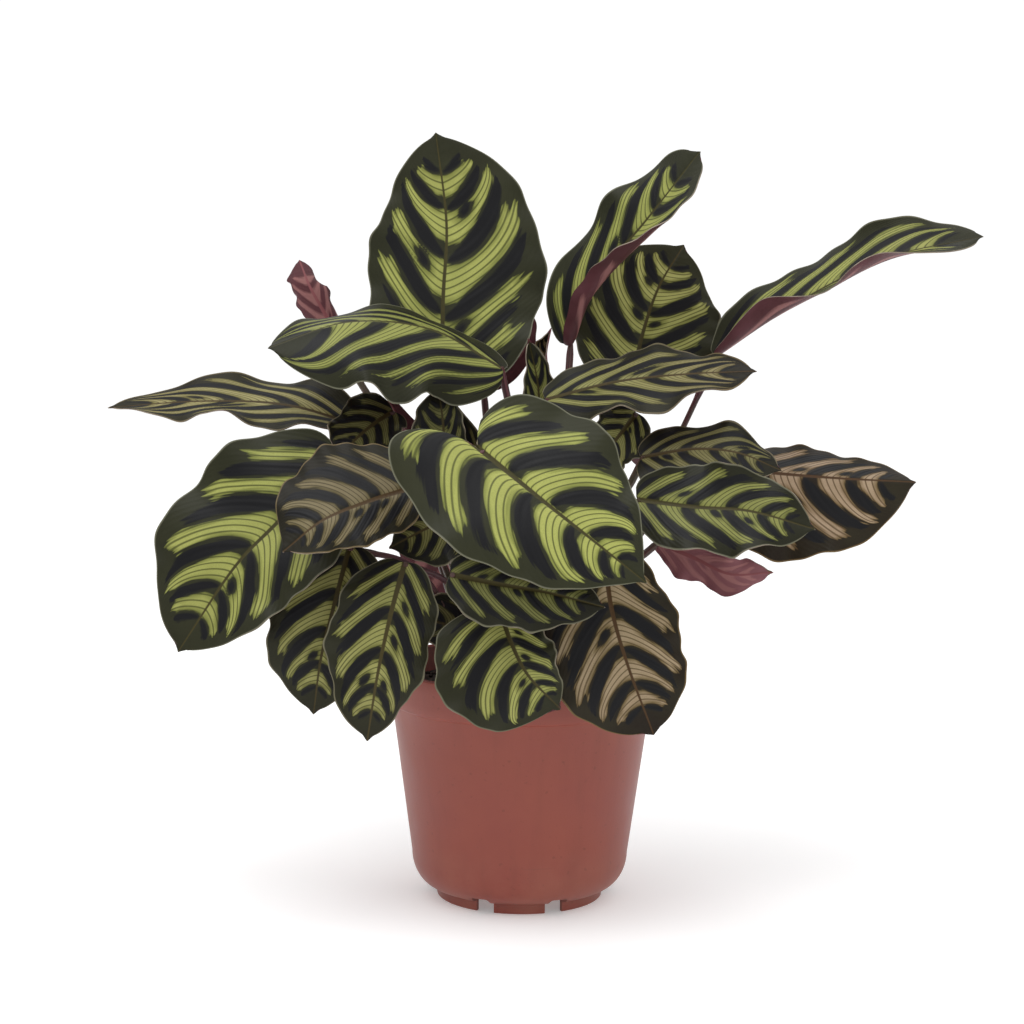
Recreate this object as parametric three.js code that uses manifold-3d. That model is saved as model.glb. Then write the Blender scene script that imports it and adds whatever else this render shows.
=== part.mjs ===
// A potted peacock plant: a clump of patterned leaves on slender stalks, rooted
// in soil in a small round plastic nursery pot.
// Millimetres, +Z up. The origin is on the pot's axis, at the surface it stands on.
import * as THREE from 'three';
import { mergeVertices } from 'three/addons/utils/BufferGeometryUtils.js';
import Module from 'manifold-3d';

const wasm = await Module();
wasm.setup();

// ---- driving dimensions ----
const GAP = 0.3;

const POT_HEIGHT = 102;
const POT_WALL = 1.5;
const WALL_TAPER = 0.137;
const RIM_RADIUS = 60;
const RIM_HEIGHT = 16.5;
const RIM_STEP = 1.6;
const CORNER_RADIUS = 15;
const FOOT_RADIUS = 36;
const FOOT_HEIGHT = 4.5;
const POT_SIDES = 48;
const NOTCH_WIDTH = 8;
const NOTCH_HEIGHT = 7.5;
const NOTCH_DEPTH = 14;
const NOTCH_ANGLES = [-66, -114, 6, 54, 126, 174];
const CENTRE_PAD_RADIUS = 9;

const SOIL_TOP = 91;
const SOIL_MOUND = 3;
const SOIL_FLOOR = FOOT_HEIGHT + POT_WALL + GAP;

const BLADE_THICKNESS = 0.8;
const BLADE_ROWS = 10;
const BLADE_COLUMNS = 6;
const BLADE_BASE_HALF = 1.3;
const BLADE_TIP_HALF = 0.5;
const BLADE_TAPER = 0.65;

const STALK_RADIUS = 1.4;
const STALK_SIDES = 6;
const STALK_STEPS = 8;
const STALK_END_GAP = 2.2;
const FURLED_SEAT = 1.5;
const STALK_LIFT = 0.5;
const FOOT_RING_WALLS = 1.4;

// ---- small helpers ----
const radians = THREE.MathUtils.degToRad;
const lerp = THREE.MathUtils.lerp;

/**
 * One half of a blade: its width, its rise at the midrib in degrees, how far its margin
 * turns at the base and at the tip in degrees, how far its lobe reaches back past the
 * stalk, and how late along the blade the first turn gives way to the second.
 */
function half(width, fold = 8, curl = 0, lobe = 12, tipCurl = curl, ease = 1) {
  return { width, fold, curl, lobe, tipCurl, ease };
}

/** The outer radius of the pot's tapered wall at a height. */
function wallRadius(z) {
  return RIM_RADIUS - RIM_STEP - WALL_TAPER * (POT_HEIGHT - z);
}

/** A profile of radius and height, turned about the upright axis. */
function turned(profile, sides) {
  return new THREE.LatheGeometry(profile, sides).rotateX(Math.PI / 2);
}

function material(color, roughness) {
  return new THREE.MeshStandardMaterial({ color, roughness, metalness: 0 });
}

const POT_PLASTIC = material('#9a5547', 0.55);
const POTTING_SOIL = material('#2b211b', 0.95);
const STALK_SKIN = material('#4a2a30', 0.5);
const BLADE_SKINS = {
  green: material('#5b6b35', 0.45),
  tan: material('#6b5a3c', 0.45),
  shade: material('#2f3a2c', 0.45),
  maroon: material('#5a2f3a', 0.5),
};

// ---- leaves ----
// spine: four points of the midrib from stalk to tip. faces: the way the upper side
// faces at the base and at the tip. left, right: the two halves. wave: the margin's
// waves, as height, count along the blade, and phase in degrees on the left and right.
// taper: how sharply the outline narrows to the tip. tone: the skin, green if unsaid.
// furled: one solid with its stalk. foot: where the stalk leaves the soil. bend: a point
// that the stalk passes through.
const LEAVES = [
  {
    name: 'back_upright',
    spine: [[-36, 20, 222], [-36, 30, 258], [-35, 40, 291], [-40, 48, 329]],
    faces: [[0, -1, 0.2], [0, -1, 0.2]],
    left: half(33, 8, 0, 8),
    right: half(43, 4, 0, 8),
    wave: [1.5, 2, 0],
    foot: [-4, 8],
    bend: [-24, 14, 160],
  },
  {
    name: 'back_left_rolled',
    tone: 'maroon',
    spine: [[-78, 56, 226], [-88, 58, 246], [-97, 60, 262], [-102, 70, 272]],
    faces: [[-0.5, 0.9, 0.2], [-0.3, 1, 0.2]],
    left: half(10, 10, 70, 0),
    right: half(10, 10, 70, 0),
    wave: [0.5, 1, 0],
    taper: 0.2,
    foot: [-10, 16],
    bend: [-48, 38, 178],
  },
  {
    name: 'upper_left',
    spine: [[-10, -8, 231], [-40, -12, 247], [-74, -20, 250], [-105, -30, 240]],
    faces: [[0, -0.5, 0.87], [-0.1, -0.55, 0.83]],
    left: half(38, 0, -40, 8),
    right: half(22, -20, 0, 8),
    wave: [3, 2.5, 198, 18],
    taper: 0.5,
    foot: [-2, 0],
    bend: [0, 2, 175],
  },
  {
    name: 'far_left',
    tone: 'tan',
    spine: [[-70, 2, 204], [-102, 4, 213], [-138, 8, 214], [-178, 8, 211]],
    faces: [[0, -0.5, 0.85], [0, -0.5, 0.85]],
    left: half(18, 5, 10, 6),
    right: half(17, 5, 0, 6),
    wave: [4, 2.5, 306, 252],
    taper: 0.8,
    foot: [-11, 6],
    bend: [-40, 6, 168],
  },
  {
    name: 'lower_left_broad',
    spine: [[-78, -38, 192], [-103, -48, 167], [-119, -54, 150], [-140, -60, 118]],
    faces: [[-0.1, -0.85, 0.5], [-0.1, -0.9, 0.4]],
    left: half(30, 5, 0, 10),
    right: half(38, 5, 0, 14),
    wave: [2, 3, 0, 120],
    foot: [-13, -2],
    bend: [-48, -20, 178],
  },
  {
    name: 'mid_left_tan',
    tone: 'tan',
    spine: [[-44, -66, 186], [-62, -74, 181], [-80, -82, 174], [-94, -86, 163]],
    faces: [[-0.1, -0.85, 0.5], [-0.2, -0.85, 0.5]],
    left: half(17, 0, -10, 4),
    right: half(30, 0, -10, 8),
    wave: [2, 2.5, 0, 90],
    foot: [-10, -10],
    bend: [-30, -28, 176],
  },
  {
    name: 'centre_left_dark',
    tone: 'shade',
    spine: [[-16, -54, 178], [-28, -58, 173], [-40, -60, 168], [-53, -60, 161]],
    faces: [[-0.1, -0.9, 0.4], [-0.2, -0.9, 0.4]],
    left: half(18, 0, 0, 6),
    right: half(12, 0, 0, 2),
    wave: [1, 2, 0],
    foot: [-5, -13],
    bend: [-8, -38, 142],
  },
  {
    name: 'front_centre_broad',
    spine: [[-17, -88, 203], [7, -100, 185], [26, -108, 171], [46, -114, 156]],
    faces: [[0.1, -0.9, 0.45], [0.1, -0.95, 0.3]],
    left: half(37, 5, -10, 20),
    right: half(36, 5, -15, 52),
    wave: [1.5, 2.5, 60],
    taper: 0.95,
    foot: [1, -13],
    bend: [-4, -56, 160],
  },
  {
    name: 'upper_right_twisted',
    spine: [[20, 18, 240], [27, 10, 264], [50, 2, 292], [72, -2, 321]],
    faces: [[-0.4, -0.9, 0.2], [-0.5, -0.7, 0.5]],
    left: half(22, 0, -10, 6),
    right: half(23, 10, 165, 2, 0, 1.3),
    wave: [3, 2, 0, 90],
    taper: 0.4,
    foot: [6, 5],
    bend: [16, 8, 175],
  },
  {
    name: 'right_upright',
    spine: [[47, 26, 222], [52, 32, 244], [59, 38, 264], [69, 42, 281]],
    faces: [[-0.1, -1, 0.2], [-0.1, -1, 0.3]],
    left: half(30, 5, 0, 8),
    right: half(32, 5, 0, 8),
    wave: [1, 2, 0],
    foot: [8, 9],
    bend: [32, 20, 165],
  },
  {
    name: 'far_right_rolled',
    spine: [[83, 10, 236], [112, 8, 256], [152, 0, 278], [191, -8, 288]],
    faces: [[-0.2, -0.6, 0.8], [-0.1, -0.6, 0.8]],
    left: half(20, 5, 0, 4),
    right: half(19, 25, 100, 2, -10),
    wave: [4.5, 1.85, 330, 330],
    taper: 0.45,
    foot: [13, 8],
    bend: [62, 16, 188],
  },
  {
    name: 'right_olive',
    tone: 'tan',
    spine: [[10, -12, 218], [38, -20, 226], [66, -28, 230], [94, -34, 232]],
    faces: [[0, -0.6, 0.8], [0, -0.6, 0.8]],
    left: half(16, 5, 0, 6),
    right: half(20, 5, -10, 6),
    wave: [3, 2.5, 0, 120],
    foot: [3, -3],
    bend: [4, -6, 165],
  },
  {
    name: 'centre_right_small',
    spine: [[47, -22, 213], [42, -27, 207], [36, -33, 200], [29, -40, 192]],
    faces: [[0.3, -0.9, 0.3], [0.3, -0.9, 0.3]],
    left: half(11, 5, 0, 2),
    right: half(11, 5, 0, 2),
    wave: [0.5, 1, 0],
    foot: [9, 1],
    bend: [28, -2, 160],
  },
  {
    name: 'right_dark',
    tone: 'shade',
    spine: [[50, -34, 196], [70, -40, 200], [88, -44, 199], [104, -48, 193]],
    faces: [[0.1, -0.6, 0.8], [0.1, -0.6, 0.8]],
    left: half(13, 10, 0, 6),
    right: half(24, 0, -10, 6),
    wave: [2.4, 2, 0, 120],
    foot: [11, -5],
    bend: [30, -22, 150],
  },
  {
    name: 'right_lower_green',
    spine: [[47, -60, 181], [69, -66, 179], [91, -70, 178], [115, -74, 172]],
    faces: [[0, -0.75, 0.65], [0, -0.8, 0.6]],
    left: half(18, 10, 10, 6),
    right: half(20, 0, -10, 6),
    wave: [2.5, 2.5, 0, 150],
    foot: [10, -10],
    bend: [26, -42, 148],
  },
  {
    name: 'far_right_tan',
    tone: 'tan',
    spine: [[76, -6, 190], [106, -8, 187], [136, -10, 185], [165, -12, 184]],
    faces: [[0, -0.95, 0.3], [0, -0.95, 0.3]],
    left: half(24, -50, 0, 0),
    right: half(36, 0, 0, 4),
    wave: [1, 2, 0],
    foot: [15, 2],
    bend: [50, 6, 156],
  },
  {
    name: 'right_underside',
    tone: 'maroon',
    spine: [[58, -10, 157], [73, -14, 151], [88, -20, 145], [104, -22, 146]],
    faces: [[0, 0.9, 0.3], [0.2, 0.9, 0.3]],
    left: half(10, 0, 0, 2),
    right: half(9, 0, 0, 2),
    wave: [2.5, 2.5, 0, 90],
    foot: [14, -7],
    bend: [40, -10, 138],
  },
  {
    name: 'front_right_hanging',
    tone: 'tan',
    spine: [[33, -66, 158], [36, -72, 137], [43, -74, 114], [53, -72, 88]],
    faces: [[0.1, -1, 0.1], [0.1, -1, 0]],
    left: half(24, 0, 0, 8),
    right: half(30, 0, 0, 8),
    wave: [1, 2, 0],
    taper: 0.5,
    foot: [8, -15],
    bend: [20, -44, 138],
  },
  {
    name: 'front_centre_hanging',
    spine: [[-9, -80, 138], [-5, -86, 127], [2, -90, 114], [14, -88, 101]],
    faces: [[0, -1, 0.2], [0, -1, 0.1]],
    left: half(14, 5, 0, 6),
    right: half(33, 0, 0, 8),
    wave: [1, 2, 0],
    foot: [1, -18],
    bend: [-3, -50, 124],
  },
  {
    name: 'front_dark_low',
    tone: 'shade',
    spine: [[-28, -98, 155], [-10, -101, 152], [10, -103, 149], [30, -103, 144]],
    faces: [[0, -0.9, 0.3], [0, -0.9, 0.3]],
    left: half(14, 0, 0, 4),
    right: half(16, 0, 0, 4),
    wave: [1.5, 2, 0],
    foot: [-5, -18],
    bend: [-18, -62, 138],
  },
  {
    name: 'low_left_hanging',
    spine: [[-72, -46, 158], [-78, -52, 134], [-83, -54, 113], [-86, -52, 91]],
    faces: [[-0.1, -1, 0.1], [-0.1, -1, 0]],
    left: half(20, 0, 0, 4),
    right: half(25, 5, 0, 4),
    wave: [2, 2, 90, 0],
    foot: [-15, -8],
    bend: [-42, -28, 144],
  },
  {
    name: 'front_left_hanging',
    spine: [[-48, -70, 155], [-53, -78, 136], [-58, -82, 112], [-62, -80, 86]],
    faces: [[-0.1, -1, 0.1], [0, -1, 0]],
    left: half(18, -10, 0, 4),
    right: half(23, -10, 0, 4),
    wave: [2.5, 2, 0, 180],
    foot: [-11, -15],
    bend: [-28, -46, 140],
  },
  {
    name: 'inner_left_dark',
    tone: 'shade',
    spine: [[-56, -14, 212], [-64, -20, 207], [-71, -26, 201], [-77, -32, 194]],
    faces: [[-0.2, -0.9, 0.4], [-0.3, -0.9, 0.3]],
    left: half(14, 0, 20, 4),
    right: half(14, 0, 20, 4),
    wave: [2, 1.5, 0],
    foot: [-18, 4],
    bend: [-44, -4, 172],
  },
  {
    name: 'inner_shade',
    tone: 'shade',
    spine: [[-34, -22, 172], [-33, -24, 190], [-34, -24, 207], [-36, -22, 222]],
    faces: [[0.2, -1, 0.1], [0.3, -1, 0]],
    left: half(17, 0, 10, 4),
    right: half(10, 0, 10, 4),
    wave: [1, 1.5, 0],
    foot: [-8, -6],
    bend: [-26, -16, 140],
  },
  {
    name: 'inner_upright_narrow',
    tone: 'shade',
    spine: [[6, 14, 178], [7, 16, 200], [6, 17, 221], [2, 18, 240]],
    faces: [[0.3, -1, 0], [0.3, -1, 0]],
    left: half(9, 15, 30, 2),
    right: half(9, 15, 30, 2),
    wave: [0.5, 1.5, 0],
    furled: true,
    foot: [0, 9],
    bend: [5, 12, 140],
  },
  {
    name: 'young_spear',
    tone: 'maroon',
    spine: [[10, 27, 214], [10, 28, 225], [9, 29, 235], [11, 28, 244]],
    faces: [[-0.6, -1, 0], [-0.6, -1, 0]],
    left: half(6, 30, 60, 0),
    right: half(6, 30, 60, 0),
    wave: [0.3, 1, 0],
    furled: true,
    foot: [4, 14],
    bend: [9, 22, 160],
  },
  {
    name: 'rear_upright',
    spine: [[-18, 52, 216], [-24, 66, 242], [-30, 76, 264], [-36, 80, 288]],
    faces: [[0.2, 1, 0.3], [0.1, 1, 0.2]],
    left: half(30, 5, 0, 4),
    right: half(30, 5, 0, 4),
    wave: [1.5, 2, 0],
    foot: [-3, 17],
    bend: [-12, 42, 158],
  },
  {
    name: 'rear_right_broad',
    spine: [[40, 50, 196], [56, 72, 192], [72, 92, 180], [86, 106, 160]],
    faces: [[0.4, 0.5, 0.8], [0.5, 0.7, 0.5]],
    left: half(28, 5, 0, 12),
    right: half(28, 5, 0, 12),
    wave: [1.5, 2.5, 30],
    foot: [10, 14],
    bend: [26, 30, 160],
  },
  {
    name: 'rear_left_broad',
    spine: [[-38, 64, 188], [-58, 84, 186], [-76, 100, 174], [-90, 112, 154]],
    faces: [[-0.4, 0.5, 0.8], [-0.5, 0.7, 0.5]],
    left: half(28, 5, 0, 12),
    right: half(28, 5, 0, 12),
    wave: [1.5, 2.5, 70],
    foot: [-17, 17],
    bend: [-26, 46, 150],
  },
  {
    name: 'rear_hanging',
    spine: [[-24, 76, 172], [-27, 93, 156], [-29, 104, 132], [-30, 108, 100]],
    faces: [[0.1, 0.8, 0.6], [0, 1, 0.2]],
    left: half(30, 5, 0, 10),
    right: half(30, 5, 0, 10),
    wave: [1.5, 2, 0],
    foot: [-6, 22],
    bend: [-14, 50, 150],
  },
];

/** Share of the greatest half width at a fraction of the blade's length. */
function ovate(along, taper = BLADE_TAPER) {
  const broadest = 0.5 / (0.5 + taper);
  const outline = (t) => Math.sqrt(t) * Math.pow(1 - t, taper);
  return outline(along) / outline(broadest);
}

/** A point of a blade's middle surface: along from 0 to 1, across from -1 (left) to 1. */
function bladePoint(leaf, curve, along, across) {
  const side = across < 0 ? leaf.left : leaf.right;
  const tangent = curve.getTangentAt(along);
  const facing = new THREE.Vector3(...leaf.faces[0]).lerp(new THREE.Vector3(...leaf.faces[1]), along);
  const normal = facing.addScaledVector(tangent, -facing.dot(tangent)).normalize();
  const lateral = new THREE.Vector3().crossVectors(tangent, normal);

  const halfWidth = side.width * ovate(along, leaf.taper) + lerp(BLADE_BASE_HALF, BLADE_TIP_HALF, along);
  const reach = Math.abs(across) * halfWidth;
  const start = radians(side.fold);
  const turn = radians(lerp(side.curl, side.tipCurl, Math.pow(along, side.ease))) * Math.abs(across);
  const middle = start + turn / 2;
  const chord = Math.abs(turn) < 1e-4 ? reach : reach * Math.sin(turn / 2) / (turn / 2);

  const [height, count, leftPhase, rightPhase = leftPhase] = leaf.wave;
  const phase = radians(across < 0 ? leftPhase : rightPhase);
  const ripple = height * across * across * Math.sin(2 * Math.PI * count * along + phase);
  const setBack = side.lobe * Math.sqrt(reach / side.width) * Math.pow(1 - along, 3);

  return curve.getPointAt(along)
    .addScaledVector(lateral, Math.sign(across) * chord * Math.cos(middle))
    .addScaledVector(normal, chord * Math.sin(middle) + ripple * ovate(along))
    .addScaledVector(tangent, -setBack);
}

function spineCurve(leaf) {
  return new THREE.CatmullRomCurve3(leaf.spine.map((p) => new THREE.Vector3(...p)), false, 'catmullrom');
}

/** A closed thin solid of the blade's real outline and bends. */
function bladeGeometry(leaf) {
  const curve = spineCurve(leaf);
  const point = (i, j) => bladePoint(leaf, curve, i / BLADE_ROWS, (2 * j) / BLADE_COLUMNS - 1);
  const columns = BLADE_COLUMNS + 1;
  const rows = BLADE_ROWS + 1;
  const positions = [];
  for (const side of [1, -1]) {
    for (let i = 0; i < rows; i += 1) {
      for (let j = 0; j < columns; j += 1) {
        const lengthways = point(Math.min(i + 1, BLADE_ROWS), j).sub(point(Math.max(i - 1, 0), j));
        const crossways = point(i, Math.min(j + 1, BLADE_COLUMNS)).sub(point(i, Math.max(j - 1, 0)));
        const normal = lengthways.cross(crossways).normalize();
        const corner = point(i, j).addScaledVector(normal, side * BLADE_THICKNESS / 2);
        positions.push(corner.x, corner.y, corner.z);
      }
    }
  }
  const top = (i, j) => i * columns + j;
  const under = (i, j) => rows * columns + i * columns + j;
  const index = [];
  const quad = (a, b, c, d) => index.push(a, b, c, a, c, d);
  for (let i = 0; i < BLADE_ROWS; i += 1) {
    for (let j = 0; j < BLADE_COLUMNS; j += 1) {
      quad(top(i, j), top(i + 1, j), top(i + 1, j + 1), top(i, j + 1));
      quad(under(i, j), under(i, j + 1), under(i + 1, j + 1), under(i + 1, j));
    }
    quad(top(i, 0), under(i, 0), under(i + 1, 0), top(i + 1, 0));
    quad(top(i, BLADE_COLUMNS), top(i + 1, BLADE_COLUMNS), under(i + 1, BLADE_COLUMNS), under(i, BLADE_COLUMNS));
  }
  for (let j = 0; j < BLADE_COLUMNS; j += 1) {
    quad(top(0, j), top(0, j + 1), under(0, j + 1), under(0, j));
    quad(top(BLADE_ROWS, j), under(BLADE_ROWS, j), under(BLADE_ROWS, j + 1), top(BLADE_ROWS, j + 1));
  }
  const geometry = new THREE.BufferGeometry();
  geometry.setAttribute('position', new THREE.Float32BufferAttribute(positions, 3));
  geometry.setIndex(index);
  return geometry;
}

/** The stalk from the soil up to the blade, ending short of it by the gap. */
function stalkGeometry(leaf, gap) {
  const [x, y] = leaf.foot;
  const footHeight = soilHeight(Math.hypot(x, y)) + GAP + STALK_LIFT;
  const base = new THREE.Vector3(...leaf.spine[0]);
  const path = new THREE.CatmullRomCurve3([
    new THREE.Vector3(x, y, footHeight),
    new THREE.Vector3(...leaf.bend),
    base,
  ], false, 'catmullrom');
  const end = base.clone().addScaledVector(path.getTangentAt(1), -gap);
  path.points[2] = end;
  path.updateArcLengths();
  const section = new THREE.Shape();
  section.absarc(0, 0, STALK_RADIUS, 0, 2 * Math.PI);
  return new THREE.ExtrudeGeometry(section, {
    steps: STALK_STEPS,
    curveSegments: STALK_SIDES / 2,
    bevelEnabled: false,
    extrudePath: path,
  });
}

// ---- the soil ----
function soilHeight(radius) {
  return SOIL_TOP + SOIL_MOUND * Math.cos((Math.PI / 2) * radius / wallRadius(SOIL_TOP));
}

function soilGeometry() {
  const inner = (z) => wallRadius(z) - POT_WALL - GAP;
  const cornerTop = FOOT_HEIGHT + CORNER_RADIUS;
  const profile = [
    new THREE.Vector2(0, SOIL_FLOOR),
    new THREE.Vector2(FOOT_RADIUS - POT_WALL, SOIL_FLOOR),
    new THREE.Vector2(inner(cornerTop), cornerTop),
    new THREE.Vector2(inner(SOIL_TOP), SOIL_TOP),
  ];
  for (const share of [0.75, 0.5, 0.25, 0]) {
    const radius = inner(SOIL_TOP) * share;
    profile.push(new THREE.Vector2(radius, soilHeight(radius)));
  }
  return turned(profile, POT_SIDES / 2);
}

// ---- the pot ----
/** The rounded corner between the foot and the wall, thinner inside by inset. */
function cornerArc(inset, steps = 5) {
  const top = FOOT_HEIGHT + CORNER_RADIUS;
  const outer = wallRadius(top);
  const points = [];
  for (let i = 0; i <= steps; i += 1) {
    const angle = (Math.PI / 2) * (i / steps);
    const across = outer - FOOT_RADIUS - inset;
    const radius = FOOT_RADIUS + across * Math.sin(angle);
    const z = FOOT_HEIGHT + inset + (CORNER_RADIUS - inset) * (1 - Math.cos(angle));
    points.push(new THREE.Vector2(radius, z));
  }
  return points;
}

function potGeometry() {
  const bandFloor = POT_HEIGHT - RIM_HEIGHT;
  const footInner = FOOT_RADIUS - POT_WALL * FOOT_RING_WALLS;
  const profile = [
    new THREE.Vector2(0, 0),
    new THREE.Vector2(CENTRE_PAD_RADIUS, 0),
    new THREE.Vector2(CENTRE_PAD_RADIUS, FOOT_HEIGHT),
    new THREE.Vector2(footInner, FOOT_HEIGHT),
    new THREE.Vector2(footInner, 0),
    new THREE.Vector2(FOOT_RADIUS, 0),
    ...cornerArc(0),
    new THREE.Vector2(wallRadius(bandFloor), bandFloor),
    new THREE.Vector2(wallRadius(bandFloor) + RIM_STEP, bandFloor + RIM_STEP / 2),
    new THREE.Vector2(RIM_RADIUS, POT_HEIGHT),
    new THREE.Vector2(RIM_RADIUS - POT_WALL - RIM_STEP, POT_HEIGHT),
    ...cornerArc(POT_WALL).reverse(),
    new THREE.Vector2(0, FOOT_HEIGHT + POT_WALL),
  ];
  return cutNotches(turned(profile, POT_SIDES));
}

function solid(geometry) {
  const plain = geometry.clone();
  plain.deleteAttribute('normal');
  plain.deleteAttribute('uv');
  const merged = mergeVertices(plain, 1e-4);
  return new wasm.Manifold(new wasm.Mesh({
    numProp: 3,
    vertProperties: new Float32Array(merged.attributes.position.array),
    triVerts: new Uint32Array(merged.index.array),
  }));
}

/** The geometry of a finished solid. */
function surface(manifold) {
  const mesh = manifold.getMesh();
  const result = new THREE.BufferGeometry();
  result.setAttribute('position', new THREE.BufferAttribute(new Float32Array(mesh.vertProperties), 3));
  result.setIndex(new THREE.BufferAttribute(new Uint32Array(mesh.triVerts), 1));
  return result;
}

/** A furled young leaf is one solid with its stalk. */
function joined(blade, stalk) {
  return surface(solid(blade).add(solid(stalk)));
}

/** Drain notches through the foot ring, open downwards. */
function cutNotches(geometry) {
  let pot = solid(geometry);
  for (const angle of NOTCH_ANGLES) {
    const notch = new THREE.BoxGeometry(NOTCH_DEPTH, NOTCH_WIDTH, 2 * NOTCH_HEIGHT);
    notch.translate(FOOT_RADIUS, 0, 0);
    notch.rotateZ(radians(angle));
    pot = pot.subtract(solid(notch));
  }
  return surface(pot);
}

// ---- the assembly ----
function piece(name, geometry, skin) {
  const mesh = new THREE.Mesh(geometry, skin);
  mesh.name = name;
  return mesh;
}

const plant = new THREE.Group();
plant.add(piece('pot', potGeometry(), POT_PLASTIC));
plant.add(piece('soil', soilGeometry(), POTTING_SOIL));
for (const leaf of LEAVES) {
  const skin = BLADE_SKINS[leaf.tone ?? 'green'];
  if (leaf.furled) {
    plant.add(piece(`leaf_${leaf.name}`, joined(bladeGeometry(leaf), stalkGeometry(leaf, -FURLED_SEAT)), skin));
  } else {
    plant.add(piece(`leaf_${leaf.name}`, bladeGeometry(leaf), skin));
    plant.add(piece(`stalk_${leaf.name}`, stalkGeometry(leaf, STALK_END_GAP), STALK_SKIN));
  }
}

export default plant;
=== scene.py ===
"""The look of a potted peacock plant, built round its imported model.

Each leaf blade, stalk, the pot and the soil is a fine mesh that stands for the
plain solid of the same name. Sizes are millimetres in the classes and metres in
Blender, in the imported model's own frame: +Z up, origin on the pot's axis at the
surface it stands on, and the viewer at -Y.
"""
import logging
import math
from dataclasses import dataclass, field
from enum import Enum
from typing import Any, Callable, Sequence

import bpy
import numpy as np
from mathutils import Matrix, Vector, noise


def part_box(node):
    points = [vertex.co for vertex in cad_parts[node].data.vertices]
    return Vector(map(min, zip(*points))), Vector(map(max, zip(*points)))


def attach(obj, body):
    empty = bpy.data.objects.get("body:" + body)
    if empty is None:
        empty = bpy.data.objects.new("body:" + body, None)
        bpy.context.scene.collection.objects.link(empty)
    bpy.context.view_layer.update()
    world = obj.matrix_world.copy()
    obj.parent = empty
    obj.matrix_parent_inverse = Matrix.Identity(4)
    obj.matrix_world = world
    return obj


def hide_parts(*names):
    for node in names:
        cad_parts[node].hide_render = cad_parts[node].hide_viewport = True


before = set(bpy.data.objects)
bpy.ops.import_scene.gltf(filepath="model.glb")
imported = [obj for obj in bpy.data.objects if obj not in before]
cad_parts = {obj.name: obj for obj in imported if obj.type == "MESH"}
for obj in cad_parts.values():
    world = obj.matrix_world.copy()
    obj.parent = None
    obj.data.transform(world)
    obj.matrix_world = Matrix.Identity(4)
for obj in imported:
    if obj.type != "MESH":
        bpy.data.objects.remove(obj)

LOG = logging.getLogger("peacock_plant")
MM = 0.001
BODY = "root"
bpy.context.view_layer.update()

Triple = tuple[float, float, float]
Shaper = Callable[[np.ndarray, np.ndarray], np.ndarray]


# ---------------------------------------------------------------- helpers


def linear(hex_colour: str) -> tuple[float, float, float, float]:
    """Turn an sRGB hex colour into Blender's linear RGBA.

    Args:
        hex_colour: Six hex digits, with or without a leading '#'.

    Returns:
        Red, green, blue and an alpha of 1, all linear.
    """
    digits = hex_colour.lstrip("#")
    values = [int(digits[i:i + 2], 16) / 255 for i in (0, 2, 4)]
    spread = [v / 12.92 if v <= 0.04045 else ((v + 0.055) / 1.055) ** 2.4 for v in values]
    return (*spread, 1.0)


def smoothstep(low: float, high: float, value: np.ndarray) -> np.ndarray:
    """Ramp smoothly from 0 below low to 1 above high."""
    share = np.clip((value - low) / (high - low), 0.0, 1.0)
    return share * share * (3 - 2 * share)


def select_only(piece: bpy.types.Object) -> None:
    """Deselect everything, then select one object and make it active."""
    bpy.ops.object.select_all(action="DESELECT")
    piece.select_set(True)
    bpy.context.view_layer.objects.active = piece


def edit(piece: bpy.types.Object, *steps: tuple[str, dict[str, Any]]) -> None:
    """Run mesh operators on the whole of one object in edit mode.

    Args:
        piece: The mesh object.
        steps: Operator names in bpy.ops.mesh, each with its settings.
    """
    select_only(piece)
    bpy.ops.object.mode_set(mode="EDIT")
    bpy.ops.mesh.select_all(action="SELECT")
    for operator, settings in steps:
        getattr(bpy.ops.mesh, operator)(**settings)
    bpy.ops.object.mode_set(mode="OBJECT")


def apply_modifier(piece: bpy.types.Object, kind: str, **settings: Any) -> None:
    """Add one modifier with its settings and apply it.

    Args:
        piece: The object that gets it.
        kind: Blender's modifier type.
        settings: Values for the modifier's properties.
    """
    select_only(piece)
    modifier = piece.modifiers.new(kind.title(), kind)
    for key, value in settings.items():
        setattr(modifier, key, value)
    bpy.ops.object.modifier_apply(modifier=modifier.name)


def sheet(
    name: str, across: int, along: int, shape: Shaper,
) -> tuple[bpy.types.Object, np.ndarray, np.ndarray]:
    """Add a grid and move every vertex to its place on a curved surface.

    Args:
        name: The object's name.
        across: Faces across the sheet.
        along: Faces along the sheet.
        shape: Gives places in millimetres for arrays of across and along, each 0 to 1.

    Returns:
        The shaped sheet, with its places in its mesh, and each vertex's across and along.
    """
    bpy.ops.object.select_all(action="DESELECT")
    bpy.ops.mesh.primitive_grid_add(x_subdivisions=across, y_subdivisions=along, size=1.0)
    piece = bpy.context.active_object
    piece.name = piece.data.name = name
    flat = np.empty(len(piece.data.vertices) * 3)
    piece.data.vertices.foreach_get("co", flat)
    flat = flat.reshape(-1, 3) + 0.5
    piece.data.vertices.foreach_set("co", (shape(flat[:, 0], flat[:, 1]) * MM).ravel())
    piece.data.update()
    return piece, flat[:, 0], flat[:, 1]


def keep(piece: bpy.types.Object, slot: str, *nodes: str) -> None:
    """Make a piece ride on the plant and stand for its solids.

    Args:
        piece: The finished piece.
        slot: The record's material slot; not used.
        nodes: The solids that it stands for, if any.
    """
    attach(piece, BODY)
    if nodes:
        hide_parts(*nodes)


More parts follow.
